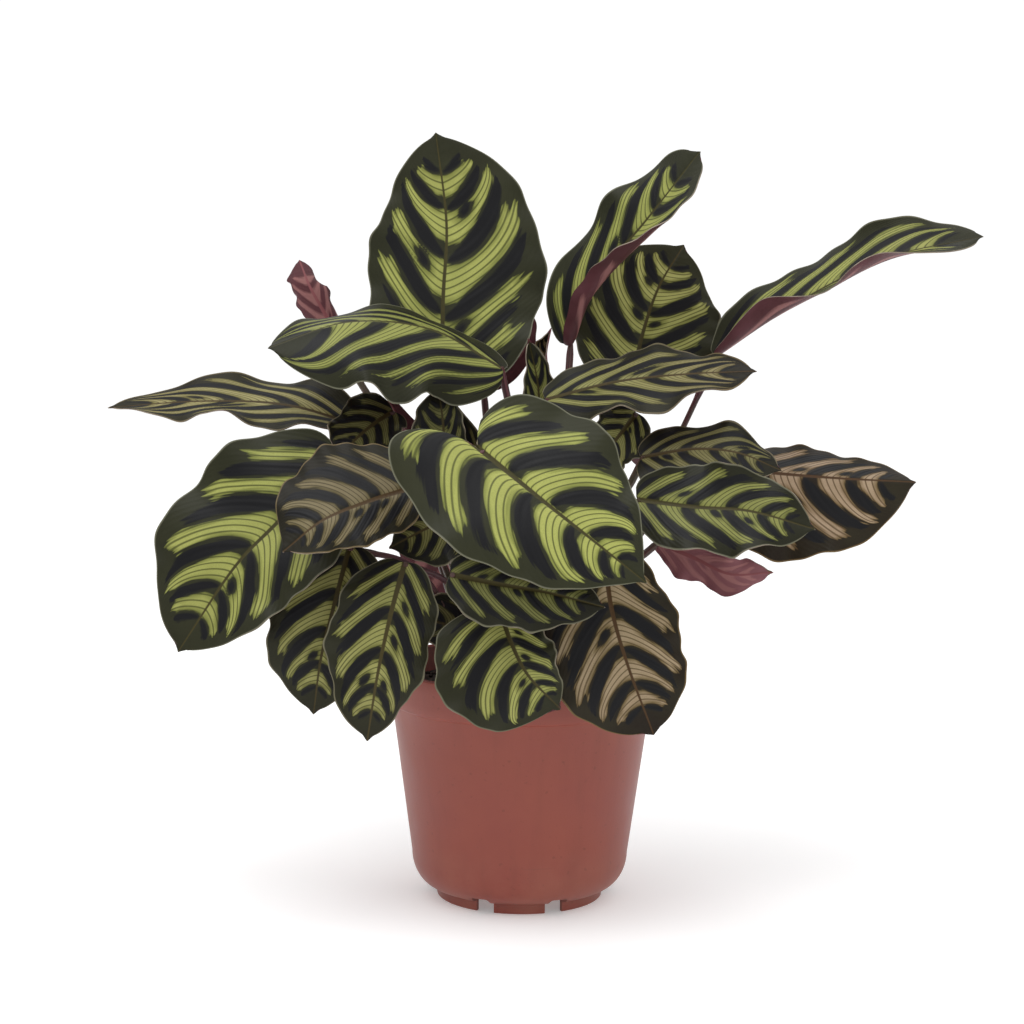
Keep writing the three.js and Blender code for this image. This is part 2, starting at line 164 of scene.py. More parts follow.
def add(tree: bpy.types.NodeTree, kind: str, *inputs: Any, **settings: Any) -> bpy.types.NodeSocket:
    """Add one shader node with its settings and links.

    Args:
        tree: The material's node tree.
        kind: The node's type, without the ShaderNode prefix.
        inputs: A value, a socket or an sRGB hex colour for each input in order, None to
            leave one alone.
        settings: Node properties, or an input's name with its value or socket.

    Returns:
        The node's first output that is switched on.
    """
    node = tree.nodes.new("ShaderNode" + kind)
    by_name = {}
    for key, value in settings.items():
        if key in node.bl_rna.properties:
            setattr(node, key, value)
        else:
            by_name[key.replace("_", " ")] = value
    live = [socket for socket in node.inputs if socket.enabled]
    wanted = list(zip(live, inputs)) + [
        (next(s for s in live if s.name.lower() == key.lower()), value) for key, value in by_name.items()
    ]
    for socket, value in wanted:
        if isinstance(value, bpy.types.NodeSocket):
            tree.links.new(value, socket)
        elif value is not None:
            socket.default_value = linear(value) if isinstance(value, str) else value
    return next((s for s in node.outputs if s.enabled), None)


def new_material(name: str) -> tuple[bpy.types.Material, bpy.types.NodeTree]:
    """Start a material.

    Args:
        name: The real material and how its surface was made.

    Returns:
        The material and its empty node tree.
    """
    material = bpy.data.materials.new(name)
    material.use_nodes = True
    material.node_tree.nodes.clear()
    return material, material.node_tree


class Curve:
    """A smooth curve through a few points, read by share of its length.

    Args:
        points: The points it passes through, in millimetres.
    """

    SAMPLES = 64

    def __init__(self, points: Sequence[Triple]) -> None:
        """Sample the curve finely and measure it.

        Args:
            points: The points it passes through, in millimetres.
        """
        knots = np.array(points, float)
        knots = np.vstack([2 * knots[0] - knots[1], knots, 2 * knots[-1] - knots[-2]])
        steps = np.linspace(0, 1, self.SAMPLES, endpoint=False)[:, None]
        spans = []
        for before, start, end, after in zip(knots, knots[1:], knots[2:], knots[3:]):
            leave, arrive = (end - before) / 2, (after - start) / 2
            spans.append(
                start + leave * steps
                + (3 * (end - start) - 2 * leave - arrive) * steps ** 2
                + (2 * (start - end) + leave + arrive) * steps ** 3
            )
        self.places = np.vstack([*spans, knots[-2]])
        run = np.linalg.norm(np.diff(self.places, axis=0), axis=1)
        self.travelled = np.concatenate([[0.0], np.cumsum(run)])
        self.length = float(self.travelled[-1])
        self.share = self.travelled / self.length

    def at(self, share: np.ndarray) -> np.ndarray:
        """Give the points at shares of the curve's length."""
        return np.stack([np.interp(share, self.share, self.places[:, k]) for k in range(3)], -1)

    def tangent(self, share: np.ndarray) -> np.ndarray:
        """Give the unit directions at shares of the curve's length."""
        ahead = self.at(np.clip(share + 0.004, 0, 1)) - self.at(np.clip(share - 0.004, 0, 1))
        return ahead / np.linalg.norm(ahead, axis=-1, keepdims=True)


# ---------------------------------------------------------------- finishes


class Tone(Enum):
    """One leaf's material slot in the record."""

    GREEN = "leaf_green"
    TAN = "leaf_tan"
    SHADE = "leaf_shade"
    MAROON = "leaf_maroon"


@dataclass(frozen=True)
class LeafFinish:
    """Living leaf skin, satin from its wax, with a pattern in the tissue itself.

    The upper side is near black-green with pale windows between the side veins;
    the underside carries the same pattern in wine red.
    """

    pale: str = "a5a95c"
    pale_edge: str = "757a3c"
    line: str = "3c4020"
    ground: str = "2b2c1d"
    blotch: str = "171719"
    rib: str = "3f3b20"
    brown: str = "a8927a"
    brown_ground: str = "241c14"
    under: str = "462427"
    under_pale: str = "a0706c"
    rim: str = "8f8272"
    roughness: float = 0.4
    ior: float = 1.45
    wax: float = 0.16
    line_pitch: float = 0.031

    def upper(self) -> bpy.types.Material:
        """Make the upper side: waxed skin, patterned with pale windows.

        Returns:
            The material; it reads the blade's own attributes.
        """
        # Living leaf skin under thin wax: crisp two-tone tissue below a soft, even sheen.
        material, tree = new_material("leaf_upper_skin_waxed")
        field_of = add(
            tree, "SeparateXYZ", add(tree, "Attribute", attribute_name="pattern").node.outputs["Vector"],
        )
        fields = field_of.node.outputs
        stored_place = add(tree, "Attribute", attribute_name="place").node.outputs["Vector"]
        place = add(tree, "SeparateXYZ", stored_place).node.outputs
        stored_mood = add(tree, "Attribute", attribute_name="mood").node.outputs["Vector"]
        mood = add(tree, "SeparateXYZ", stored_mood).node.outputs
        window, blotch, rib = fields[0], fields[1], fields[2]
        vein, reach, edge = place[0], place[1], place[2]
        warm, seed = mood[0], mood[1]
        object_place = add(tree, "TexCoord").node.outputs["Object"]
        far = add(tree, "Math", reach, operation="ABSOLUTE")

        grain = streaks(tree, vein, far, seed, 46, 3.2)
        fine = streaks(tree, vein, far, seed, 150, 7.0)
        ragged = add(tree, "MapRange", far, 0.2, 0.85, 0.015, 0.11)
        torn = add(
            tree, "Math", add(tree, "Math", grain, 0.5, operation="SUBTRACT"), ragged,
            operation="MULTIPLY",
        )
        torn_fine = add(
            tree, "Math", add(tree, "Math", fine, 0.5, operation="SUBTRACT"), 0.012, operation="MULTIPLY",
        )
        wobble = add(tree, "Math", torn, torn_fine, operation="ADD")
        ragged_window = add(tree, "Math", window, wobble, operation="ADD")
        is_pale = add(tree, "MapRange", ragged_window, -0.002, 0.006)
        is_core = add(tree, "MapRange", ragged_window, 0.004, 0.03)
        is_blotch = add(
            tree, "MapRange", add(tree, "Math", blotch, wobble, operation="ADD"), -0.004, 0.01,
        )

        cloud = add(tree, "TexNoise", Vector=object_place, Scale=60.0, Detail=3.0)
        ground = add(tree, "MixRGB", warm, self.ground, self.brown_ground)
        ground = add(
            tree, "MixRGB", add(tree, "MapRange", cloud, 0.35, 0.75, 0.0, 0.25), ground, "40412c",
        )
        # Painted shade: on leaves set deep in the clump's shade, the ground darkens towards near black.
        ground = add(
            tree, "MixRGB", add(tree, "Math", mood[2], 0.8, operation="MULTIPLY"), ground, "15140f",
        )
        dark = add(tree, "MixRGB", is_blotch, ground, self.blotch)
        pale = add(tree, "MixRGB", warm, self.pale, self.brown)
        pale_edge = add(tree, "MixRGB", warm, self.pale_edge, "6e5a3c")
        pale = add(tree, "MixRGB", is_core, pale_edge, pale)
        pale = add(tree, "MixRGB", add(tree, "MapRange", cloud, 0.4, 0.8, 0.0, 0.4), pale, pale_edge)
        wave = add(
            tree, "Math", add(tree, "Math", vein, 2 * math.pi / self.line_pitch, operation="MULTIPLY"),
            operation="SINE",
        )
        thin = add(tree, "MapRange", far, 0.3, 0.85, 0.5, -0.3)
        is_line = add(tree, "MapRange", wave, thin, 1.0, 0.0, 1.0, clamp=True)
        pale = add(
            tree, "MixRGB", add(tree, "Math", is_line, 0.85, operation="MULTIPLY"), pale,
            add(tree, "MixRGB", warm, self.line, "4e3c26"),
        )
        net = streaks(tree, vein, far, seed, 260, 240)
        pale = add(tree, "MixRGB", add(tree, "MapRange", net, 0.52, 0.7, 0.0, 0.45), pale, pale_edge)
        # Painted shade: on the same leaves the windows darken towards the dark skin.
        pale = add(tree, "MixRGB", add(tree, "Math", mood[2], 0.8, operation="MULTIPLY"), pale, dark)
        skin = add(tree, "MixRGB", is_pale, dark, pale)
        is_rib = add(tree, "MapRange", rib, -0.15, 0.25)
        skin = add(tree, "MixRGB", is_rib, skin, add(tree, "MixRGB", warm, self.rib, "4a3420"))
        skin = add(
            tree, "MixRGB", add(tree, "MapRange", edge, 0.75, 0.3), skin,
            add(tree, "MixRGB", warm, "6a6a58", "6f5a38"),
        )

        height = add(tree, "Math", wave, 0.5, operation="MULTIPLY")
        cells = add(tree, "TexNoise", Vector=object_place, Scale=900.0, Detail=2.0)
        height = add(
            tree, "Math", height, add(tree, "Math", cells, 0.8, operation="MULTIPLY"), operation="ADD",
        )
        bump = add(tree, "Bump", Strength=0.18, Distance=0.0002, Height=height)
        rough = add(tree, "MapRange", cloud, 0.3, 0.7, self.roughness - 0.05, self.roughness + 0.08)
        shader = add(
            tree, "BsdfPrincipled", Base_Color=skin, Roughness=rough, IOR=self.ior,
            Specular_IOR_Level=self.wax, Normal=bump,
        )
        add(tree, "OutputMaterial", shader)
        return material

    def lower(self) -> bpy.types.Material:
        """Make the underside: matt wine-red skin with the windows in pink.

        Returns:
            The material; it reads the blade's own attributes.
        """
        # The same leaf without wax: wine red and matt, with the pattern showing through.
        material, tree = new_material("leaf_under_skin_matt")
        stored_pattern = add(tree, "Attribute", attribute_name="pattern").node.outputs["Vector"]
        fields = add(tree, "SeparateXYZ", stored_pattern).node.outputs
        stored_place = add(tree, "Attribute", attribute_name="place").node.outputs["Vector"]
        place = add(tree, "SeparateXYZ", stored_place).node.outputs
        stored_mood = add(tree, "Attribute", attribute_name="mood").node.outputs["Vector"]
        mood = add(tree, "SeparateXYZ", stored_mood).node.outputs
        object_place = add(tree, "TexCoord").node.outputs["Object"]
        far = add(tree, "Math", place[1], operation="ABSOLUTE")
        grain = streaks(tree, place[0], far, mood[1], 46, 3.2)
        torn = add(
            tree, "Math", add(tree, "Math", grain, 0.5, operation="SUBTRACT"), 0.04, operation="MULTIPLY",
        )
        is_pale = add(tree, "MapRange", add(tree, "Math", fields[0], torn, operation="ADD"), -0.01, 0.02)
        cloud = add(tree, "TexNoise", Vector=object_place, Scale=70.0, Detail=3.0)
        ground = add(tree, "MixRGB", mood[0], self.under, "84565a")
        skin = add(tree, "MixRGB", add(tree, "MapRange", cloud, 0.35, 0.7, 0.0, 0.4), ground, "6d434a")
        skin = add(
            tree, "MixRGB", add(tree, "Math", is_pale, 0.6, operation="MULTIPLY"), skin, self.under_pale,
        )
        skin = add(tree, "MixRGB", add(tree, "MapRange", fields[2], -0.1, 0.3), skin, "7d4a4c")
        bump = add(tree, "Bump", Strength=0.3, Distance=0.0002, Height=grain)
        shader = add(
            tree, "BsdfPrincipled", Base_Color=skin, Roughness=0.52, IOR=self.ior,
            Specular_IOR_Level=self.wax, Normal=bump,
        )
        add(tree, "OutputMaterial", shader)
        return material

    def margin(self) -> bpy.types.Material:
        """Make the cut-thin margin, a paler and drier line round the blade.

        Returns:
            The material.
        """
        # The dried edge of the leaf: a pale hairline that sets each blade off from the next.
        material, tree = new_material("leaf_margin_dry")
        object_place = add(tree, "TexCoord").node.outputs["Object"]
        cloud = add(tree, "TexNoise", Vector=object_place, Scale=150.0, Detail=2.0)
        skin = add(tree, "MixRGB", add(tree, "MapRange", cloud, 0.35, 0.65), self.rim, "6b5d50")
        shader = add(tree, "BsdfPrincipled", Base_Color=skin, Roughness=0.6, IOR=self.ior)
        add(tree, "OutputMaterial", shader)
        return material


def streaks(
    tree: bpy.types.NodeTree, vein: Any, far: Any, seed: Any, fine: float, slow: float,
) -> bpy.types.NodeSocket:
    """Draw noise out along the side veins, different on every blade.

    Args:
        tree: The material's node tree.
        vein: Where the side vein leaves the midrib.
        far: Distance from the midrib as a share of the half width.
        seed: The blade's own number.
        fine: Streaks across the veins.
        slow: Streaks along the veins.

    Returns:
        The noise, about 0.5 in the middle.
    """
    across = add(tree, "Math", vein, fine, operation="MULTIPLY")
    along = add(tree, "Math", far, slow, operation="MULTIPLY")
    return add(
        tree, "TexNoise", Vector=add(tree, "CombineXYZ", across, along, seed), Scale=1.0, Detail=1.5,
    )


# ---------------------------------------------------------------- leaf blades


@dataclass(frozen=True)
class Half:
    """One half of a blade, from the midrib to its margin.

    Attributes:
        width: Greatest half width in millimetres.
        fold: Rise at the midrib in degrees.
        curl: Further turn from midrib to margin near the base, in degrees.
        lobe: How far the base reaches back past the stalk, in millimetres.
        tip_curl: The same turn at the tip; None keeps curl.
        ease: How late along the blade the first turn gives way to the second.
    """

    width: float
    fold: float = 8
    curl: float = 0
    lobe: float = 12
    tip_curl: float | None = None
    ease: float = 1.0


@dataclass
class Blade:
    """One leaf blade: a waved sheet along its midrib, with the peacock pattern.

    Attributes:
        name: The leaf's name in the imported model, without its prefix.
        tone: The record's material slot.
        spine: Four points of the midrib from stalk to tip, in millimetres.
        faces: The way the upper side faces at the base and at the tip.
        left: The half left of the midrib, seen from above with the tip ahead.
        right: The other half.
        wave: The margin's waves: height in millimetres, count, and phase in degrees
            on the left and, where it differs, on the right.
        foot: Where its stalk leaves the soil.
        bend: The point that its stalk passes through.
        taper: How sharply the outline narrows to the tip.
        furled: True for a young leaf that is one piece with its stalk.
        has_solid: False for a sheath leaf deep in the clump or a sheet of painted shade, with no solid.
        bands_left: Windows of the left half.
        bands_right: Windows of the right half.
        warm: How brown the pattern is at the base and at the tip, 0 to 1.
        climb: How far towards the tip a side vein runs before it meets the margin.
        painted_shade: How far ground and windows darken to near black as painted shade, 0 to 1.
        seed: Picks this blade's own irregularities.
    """

    name: str
    tone: Tone
    spine: tuple[Triple, ...]
    faces: tuple[Triple, Triple]
    left: Half
    right: Half
    wave: tuple[float, ...]
    foot: tuple[float, float]
    bend: Triple
    taper: float = 0.65
    furled: bool = False
    has_solid: bool = True
    bands_left: tuple[float, ...] = (-0.03, 0.2, 0.43, 0.65, 0.82)
    bands_right: tuple[float, ...] = (-0.01, 0.18, 0.41, 0.63, 0.81)
    warm: tuple[float, float] = (0.0, 0.0)
    climb: float = 0.36
    painted_shade: float = 0.0
    seed: int = 0

    ROWS = 120
    COLUMNS = 56
    THICKNESS = 0.45
    BASE_HALF = 1.3
    TIP_HALF = 0.5
    RIB_HALF = (1.25, 0.35)
    RIB_DEPTH = 0.55
    QUILT = 0.08
    QUILT_PITCH = 0.054
    TIP_LENGTH = 2.2
    SWEEP = 1.34
    VEIN_STEPS = 16
    OUTSIDE = -0.2
    PATTERN_END = 0.92
    BLOTCH_HALF = 0.27
    SPOT_CHANCE = 0.45
    SMOOTH_ANGLE = 50

    def __post_init__(self) -> None:
        """Make the midrib's curve."""
        self.curve = Curve(self.spine)

    def ovate(self, along: np.ndarray) -> np.ndarray:
        """Give the share of the greatest half width along the blade."""
        def outline(share: Any) -> Any:
            """Give the outline before it is scaled."""
            return np.sqrt(share) * np.power(np.maximum(1 - share, 0), self.taper)

        return outline(along) / outline(0.5 / (0.5 + self.taper))

    def side(self, name: str, across: np.ndarray) -> np.ndarray:
        """Give one number of the half that each point lies in.

        Args:
            name: The field of Half.
            across: Left margin at -1, midrib at 0, right margin at 1.

        Returns:
            The field's value at each point.
        """
        halves = (self.left, self.right)
        pick = [getattr(half, name) for half in halves]
        if name == "tip_curl":
            pick = [half.curl if half.tip_curl is None else half.tip_curl for half in halves]
        return np.where(across < 0, pick[0], pick[1])

    def half_width(self, along: np.ndarray, across: np.ndarray) -> np.ndarray:
        """Give the distance from midrib to margin in millimetres."""
        least = self.BASE_HALF + (self.TIP_HALF - self.BASE_HALF) * along
        return self.side("width", across) * self.ovate(along) + least

    def place(self, along: np.ndarray, across: np.ndarray, detail: float = 1.0) -> np.ndarray:
        """Give points of the blade's middle surface.

        Args:
            along: Shares of the midrib's length, from stalk to tip.
            across: Left margin at -1, midrib at 0, right margin at 1.
            detail: 0 for the plain blade, 1 with its midrib, quilting and ruffle.

        Returns:
            Places in millimetres.
        """
        tangent = self.curve.tangent(along)
        base, tip = (np.array(face, float) for face in self.faces)
        facing = base + (tip - base) * along[:, None]
        normal = facing - tangent * np.sum(facing * tangent, -1, keepdims=True)
        normal /= np.linalg.norm(normal, axis=-1, keepdims=True)
        lateral = np.cross(tangent, normal)

        reach = np.abs(across) * self.half_width(along, across)
        start = np.radians(self.side("fold", across))
        curl, tip_curl = self.side("curl", across), self.side("tip_curl", across)
        turn = np.radians(curl + (tip_curl - curl) * along ** self.side("ease", across)) * np.abs(across)
        middle = start + turn / 2
        safe = np.where(np.abs(turn) < 1e-4, 1.0, turn / 2)
        chord = np.where(np.abs(turn) < 1e-4, reach, reach * np.sin(safe) / safe)

        height, count, left_phase, right_phase = (*self.wave, self.wave[-1])[:4]
        phase = np.radians(np.where(across < 0, left_phase, right_phase))
        shape = self.ovate(along)
        rise = height * across ** 2 * np.sin(2 * math.pi * count * along + phase) * shape
        set_back = self.side("lobe", across) * np.sqrt(reach / self.side("width", across)) * (1 - along) ** 3
        outward = np.sign(across) * chord * np.cos(middle)
        upward = chord * np.sin(middle) + rise
        if detail:
            upward = upward + detail * self.relief(along, across, reach)
            outward = outward + detail * self.ruffle(along, across)
        drip = smoothstep(0.93, 1.0, along) * (1 - smoothstep(0.0, 1.0, np.abs(across)))
        set_back = set_back - detail * self.TIP_LENGTH * drip
        sideways = lateral * outward[:, None] + normal * upward[:, None]
        return self.curve.at(along) + sideways - tangent * set_back[:, None]

    def relief(self, along: np.ndarray, across: np.ndarray, reach: np.ndarray) -> np.ndarray:
        """Give the height of midrib, side veins and margin ripple.

        Args:
            along: Shares of the midrib's length.
            across: Left margin at -1, midrib at 0, right margin at 1.
            reach: Distances from the midrib in millimetres.

        Returns:
            Heights over the plain blade in millimetres.
        """
        wide = self.RIB_HALF[0] + (self.RIB_HALF[1] - self.RIB_HALF[0]) * along
        groove = -self.RIB_DEPTH * (1 - 0.6 * along) * np.exp(-(reach / (1.3 * wide)) ** 2)
        vein = self.vein(along, np.abs(across))
        far = np.abs(across)
        quilt = self.QUILT * np.sin(2 * math.pi * vein / self.QUILT_PITCH) * smoothstep(0.02, 0.3, far) * (
            1 - smoothstep(0.6, 0.92, far)
        )
        turn = 2 * math.pi * (3.1 * along + 0.37 * self.seed) + np.where(across < 0, 0.0, 2.1)
        ripple = far ** 4 * (1.1 * np.sin(turn) + 0.45 * np.sin(2.3 * turn + 1.0)) * self.ovate(along)
        return groove + quilt * self.ovate(along) + ripple

    def ruffle(self, along: np.ndarray, across: np.ndarray) -> np.ndarray:
        """Give the small in and out of the margin.

        Args:
            along: Shares of the midrib's length.
            across: Left margin at -1, midrib at 0, right margin at 1.

        Returns:
            Steps sideways in millimetres.
        """
        turn = 2 * math.pi * (2.7 * along + 0.61 * self.seed) + np.where(across < 0, 1.0, 2.4)
        swing = 1.2 * np.sin(turn) + 0.4 * np.sin(2.7 * turn)
        return np.sign(across) * np.abs(across) ** 4 * swing * self.ovate(along)

    def vein(self, along: np.ndarray, far: np.ndarray) -> np.ndarray:
        """Give where the side vein through each point leaves the midrib.

        Args:
            along: Shares of the midrib's length.
            far: Distance from the midrib as a share of the half width.

        Returns:
            Shares of the midrib's length, below 0 in the lobes of the base.
        """
        start = along - self.climb * far
        for _ in range(self.VEIN_STEPS):
            climb = np.where(
                start < 0, self.climb + 0.5 * start, self.climb * np.minimum(1, (1 - start) / 0.46),
            )
            start = along - np.maximum(climb, 0.05) * far ** self.SWEEP
        return start

    def pattern(self, along: np.ndarray, across: np.ndarray) -> tuple[np.ndarray, np.ndarray]:
        """Give how far inside a pale window and a dark blotch each point is.

        Args:
            along: Shares of the midrib's length.
            across: Left margin at -1, midrib at 0, right margin at 1.

        Returns:
            Two signed distances as shares of the length, positive inside.
        """
        far = np.abs(across)
        vein = self.vein(along, far)
        draw = np.random.default_rng(self.seed)
        window, blotch = np.full(len(far), self.OUTSIDE), np.full(len(far), self.OUTSIDE)
        for starts, here in ((self.bands_left, across < 0), (self.bands_right, across >= 0)):
            rows = np.array([starts[0] - 0.2, *starts, self.PATTERN_END])
            middles, gaps = (rows[:-1] + rows[1:]) / 2, np.diff(rows)
            dark, pale = np.full(len(far), self.OUTSIDE), np.full(len(far), self.OUTSIDE)
            for middle, gap in zip(middles, gaps):
                size, end = draw.uniform(0.88, 1.08), self.outer_end(middle) - draw.uniform(0.0, 0.08)
                # A blotch is a teardrop along its vein, fattest past the middle.
                share = np.clip((far - 0.01) / (end - 0.01), 0, 1)
                plump = 1.66 * np.power(share, 0.62) * np.power(1 - share, 0.42)
                beyond = np.maximum(far - end, 0) * 0.4 + np.maximum(0.01 - far, 0) * 2
                drift = 0.1 * gap * (2 * share - 1)
                dark = np.maximum(
                    dark, self.BLOTCH_HALF * gap * size * plump - beyond - np.abs(vein - middle - drift),
                )
            for k, start in enumerate(starts):
                # A window is a stripe that widens from the midrib and frays near the margin.
                outer = self.outer_end(start) + draw.uniform(-0.03, 0.03)
                fade = np.clip((outer - far) / 0.3, -0.6, 1)
                room = np.where(vein < start, gaps[k], gaps[k + 1])
                spread = 0.36 + 0.14 * smoothstep(0.0, 0.35, far) - 0.12 * smoothstep(0.6, 0.9, far)
                half = room * spread * np.sign(fade) * np.abs(fade) ** 0.8
                pale = np.maximum(pale, half - np.abs(vein - start))
            # Some windows hold a small round spot.
            for start in starts[1:4]:
                if draw.uniform() < self.SPOT_CHANCE:
                    spot = np.hypot(
                        vein - start - draw.uniform(-0.03, 0.03), 0.3 * (far - draw.uniform(0.1, 0.3)),
                    )
                    dark = np.maximum(dark, draw.uniform(0.014, 0.026) - spot)
            pale = np.minimum(pale, -dark - 0.004 - 0.016 * far)
            window = np.where(here, pale, window)
            blotch = np.where(here, dark, blotch)
        return window, blotch

    def offset(self) -> np.ndarray:
        """Find the blade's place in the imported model.

        Returns:
            Millimetres from the plain blade's middle to its solid's middle. A sheath leaf
            has no solid, and its spine starts from the middle of the soil's top instead.
        """
        if self.furled:
            return np.zeros(3)
        if not self.has_solid:
            low, high = (np.array(corner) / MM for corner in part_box("soil"))
            return np.array([*(low + high)[:2] / 2, high[2]])
        low, high = (np.array(corner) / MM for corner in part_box("leaf_" + self.name))
        rows, columns = np.meshgrid(np.linspace(0, 1, 11), np.linspace(-1, 1, 7))
        plain = self.place(rows.ravel(), columns.ravel(), 0.0)
        return (low + high - plain.min(0) - plain.max(0)) / 2

    @staticmethod
    def outer_end(start: float) -> float:
        """Give how far towards the margin the pattern reaches along a side vein."""
        return 0.87 - 1.1 * max(start - 0.6, 0.0)

    def build(self, skins: Sequence[bpy.types.Material]) -> bpy.types.Object:
        """Model the blade and dress it.

        Args:
            skins: Upper side, underside and margin.

        Returns:
            The finished blade.
        """
        shift = self.offset()

        def shape(u: np.ndarray, v: np.ndarray) -> np.ndarray:
            """Give the places of the sheet's points in millimetres."""
            return self.place(v, 2 * u - 1) + shift

        coarse = 1 if self.has_solid else 2
        blade, share, along = sheet(
            "blade_" + self.name, self.COLUMNS // coarse, self.ROWS // coarse, shape,
        )
        across = 2 * share - 1
        window, blotch = self.pattern(along, across)
        reach = np.abs(across) * self.half_width(along, across)
        wide = self.RIB_HALF[0] + (self.RIB_HALF[1] - self.RIB_HALF[0]) * along
        edge = (1 - np.abs(across)) * self.half_width(along, across)
        warm = self.warm[0] + (self.warm[1] - self.warm[0]) * along ** 2
        fields = {
            "pattern": (window, blotch, wide - reach),
            "place": (self.vein(along, np.abs(across)), across, edge),
            # The mood's third part is the painted shade that darkens a leaf sitting in the clump's shade.
            "mood": (warm, np.full(len(along), 3.7 * self.seed), np.full(len(along), self.painted_shade)),
        }
        for name, parts in fields.items():
            layer = blade.data.attributes.new(name, "FLOAT_VECTOR", "POINT")
            layer.data.foreach_set("vector", np.stack(parts, -1).astype(np.float32).ravel())
        for skin in skins:
            blade.data.materials.append(skin)
        apply_modifier(
            blade, "SOLIDIFY", thickness=self.THICKNESS * MM, offset=0.0, use_even_offset=False,
            material_offset=1, material_offset_rim=2,
        )
        select_only(blade)
        bpy.ops.object.shade_smooth_by_angle(angle=math.radians(self.SMOOTH_ANGLE))
        return blade


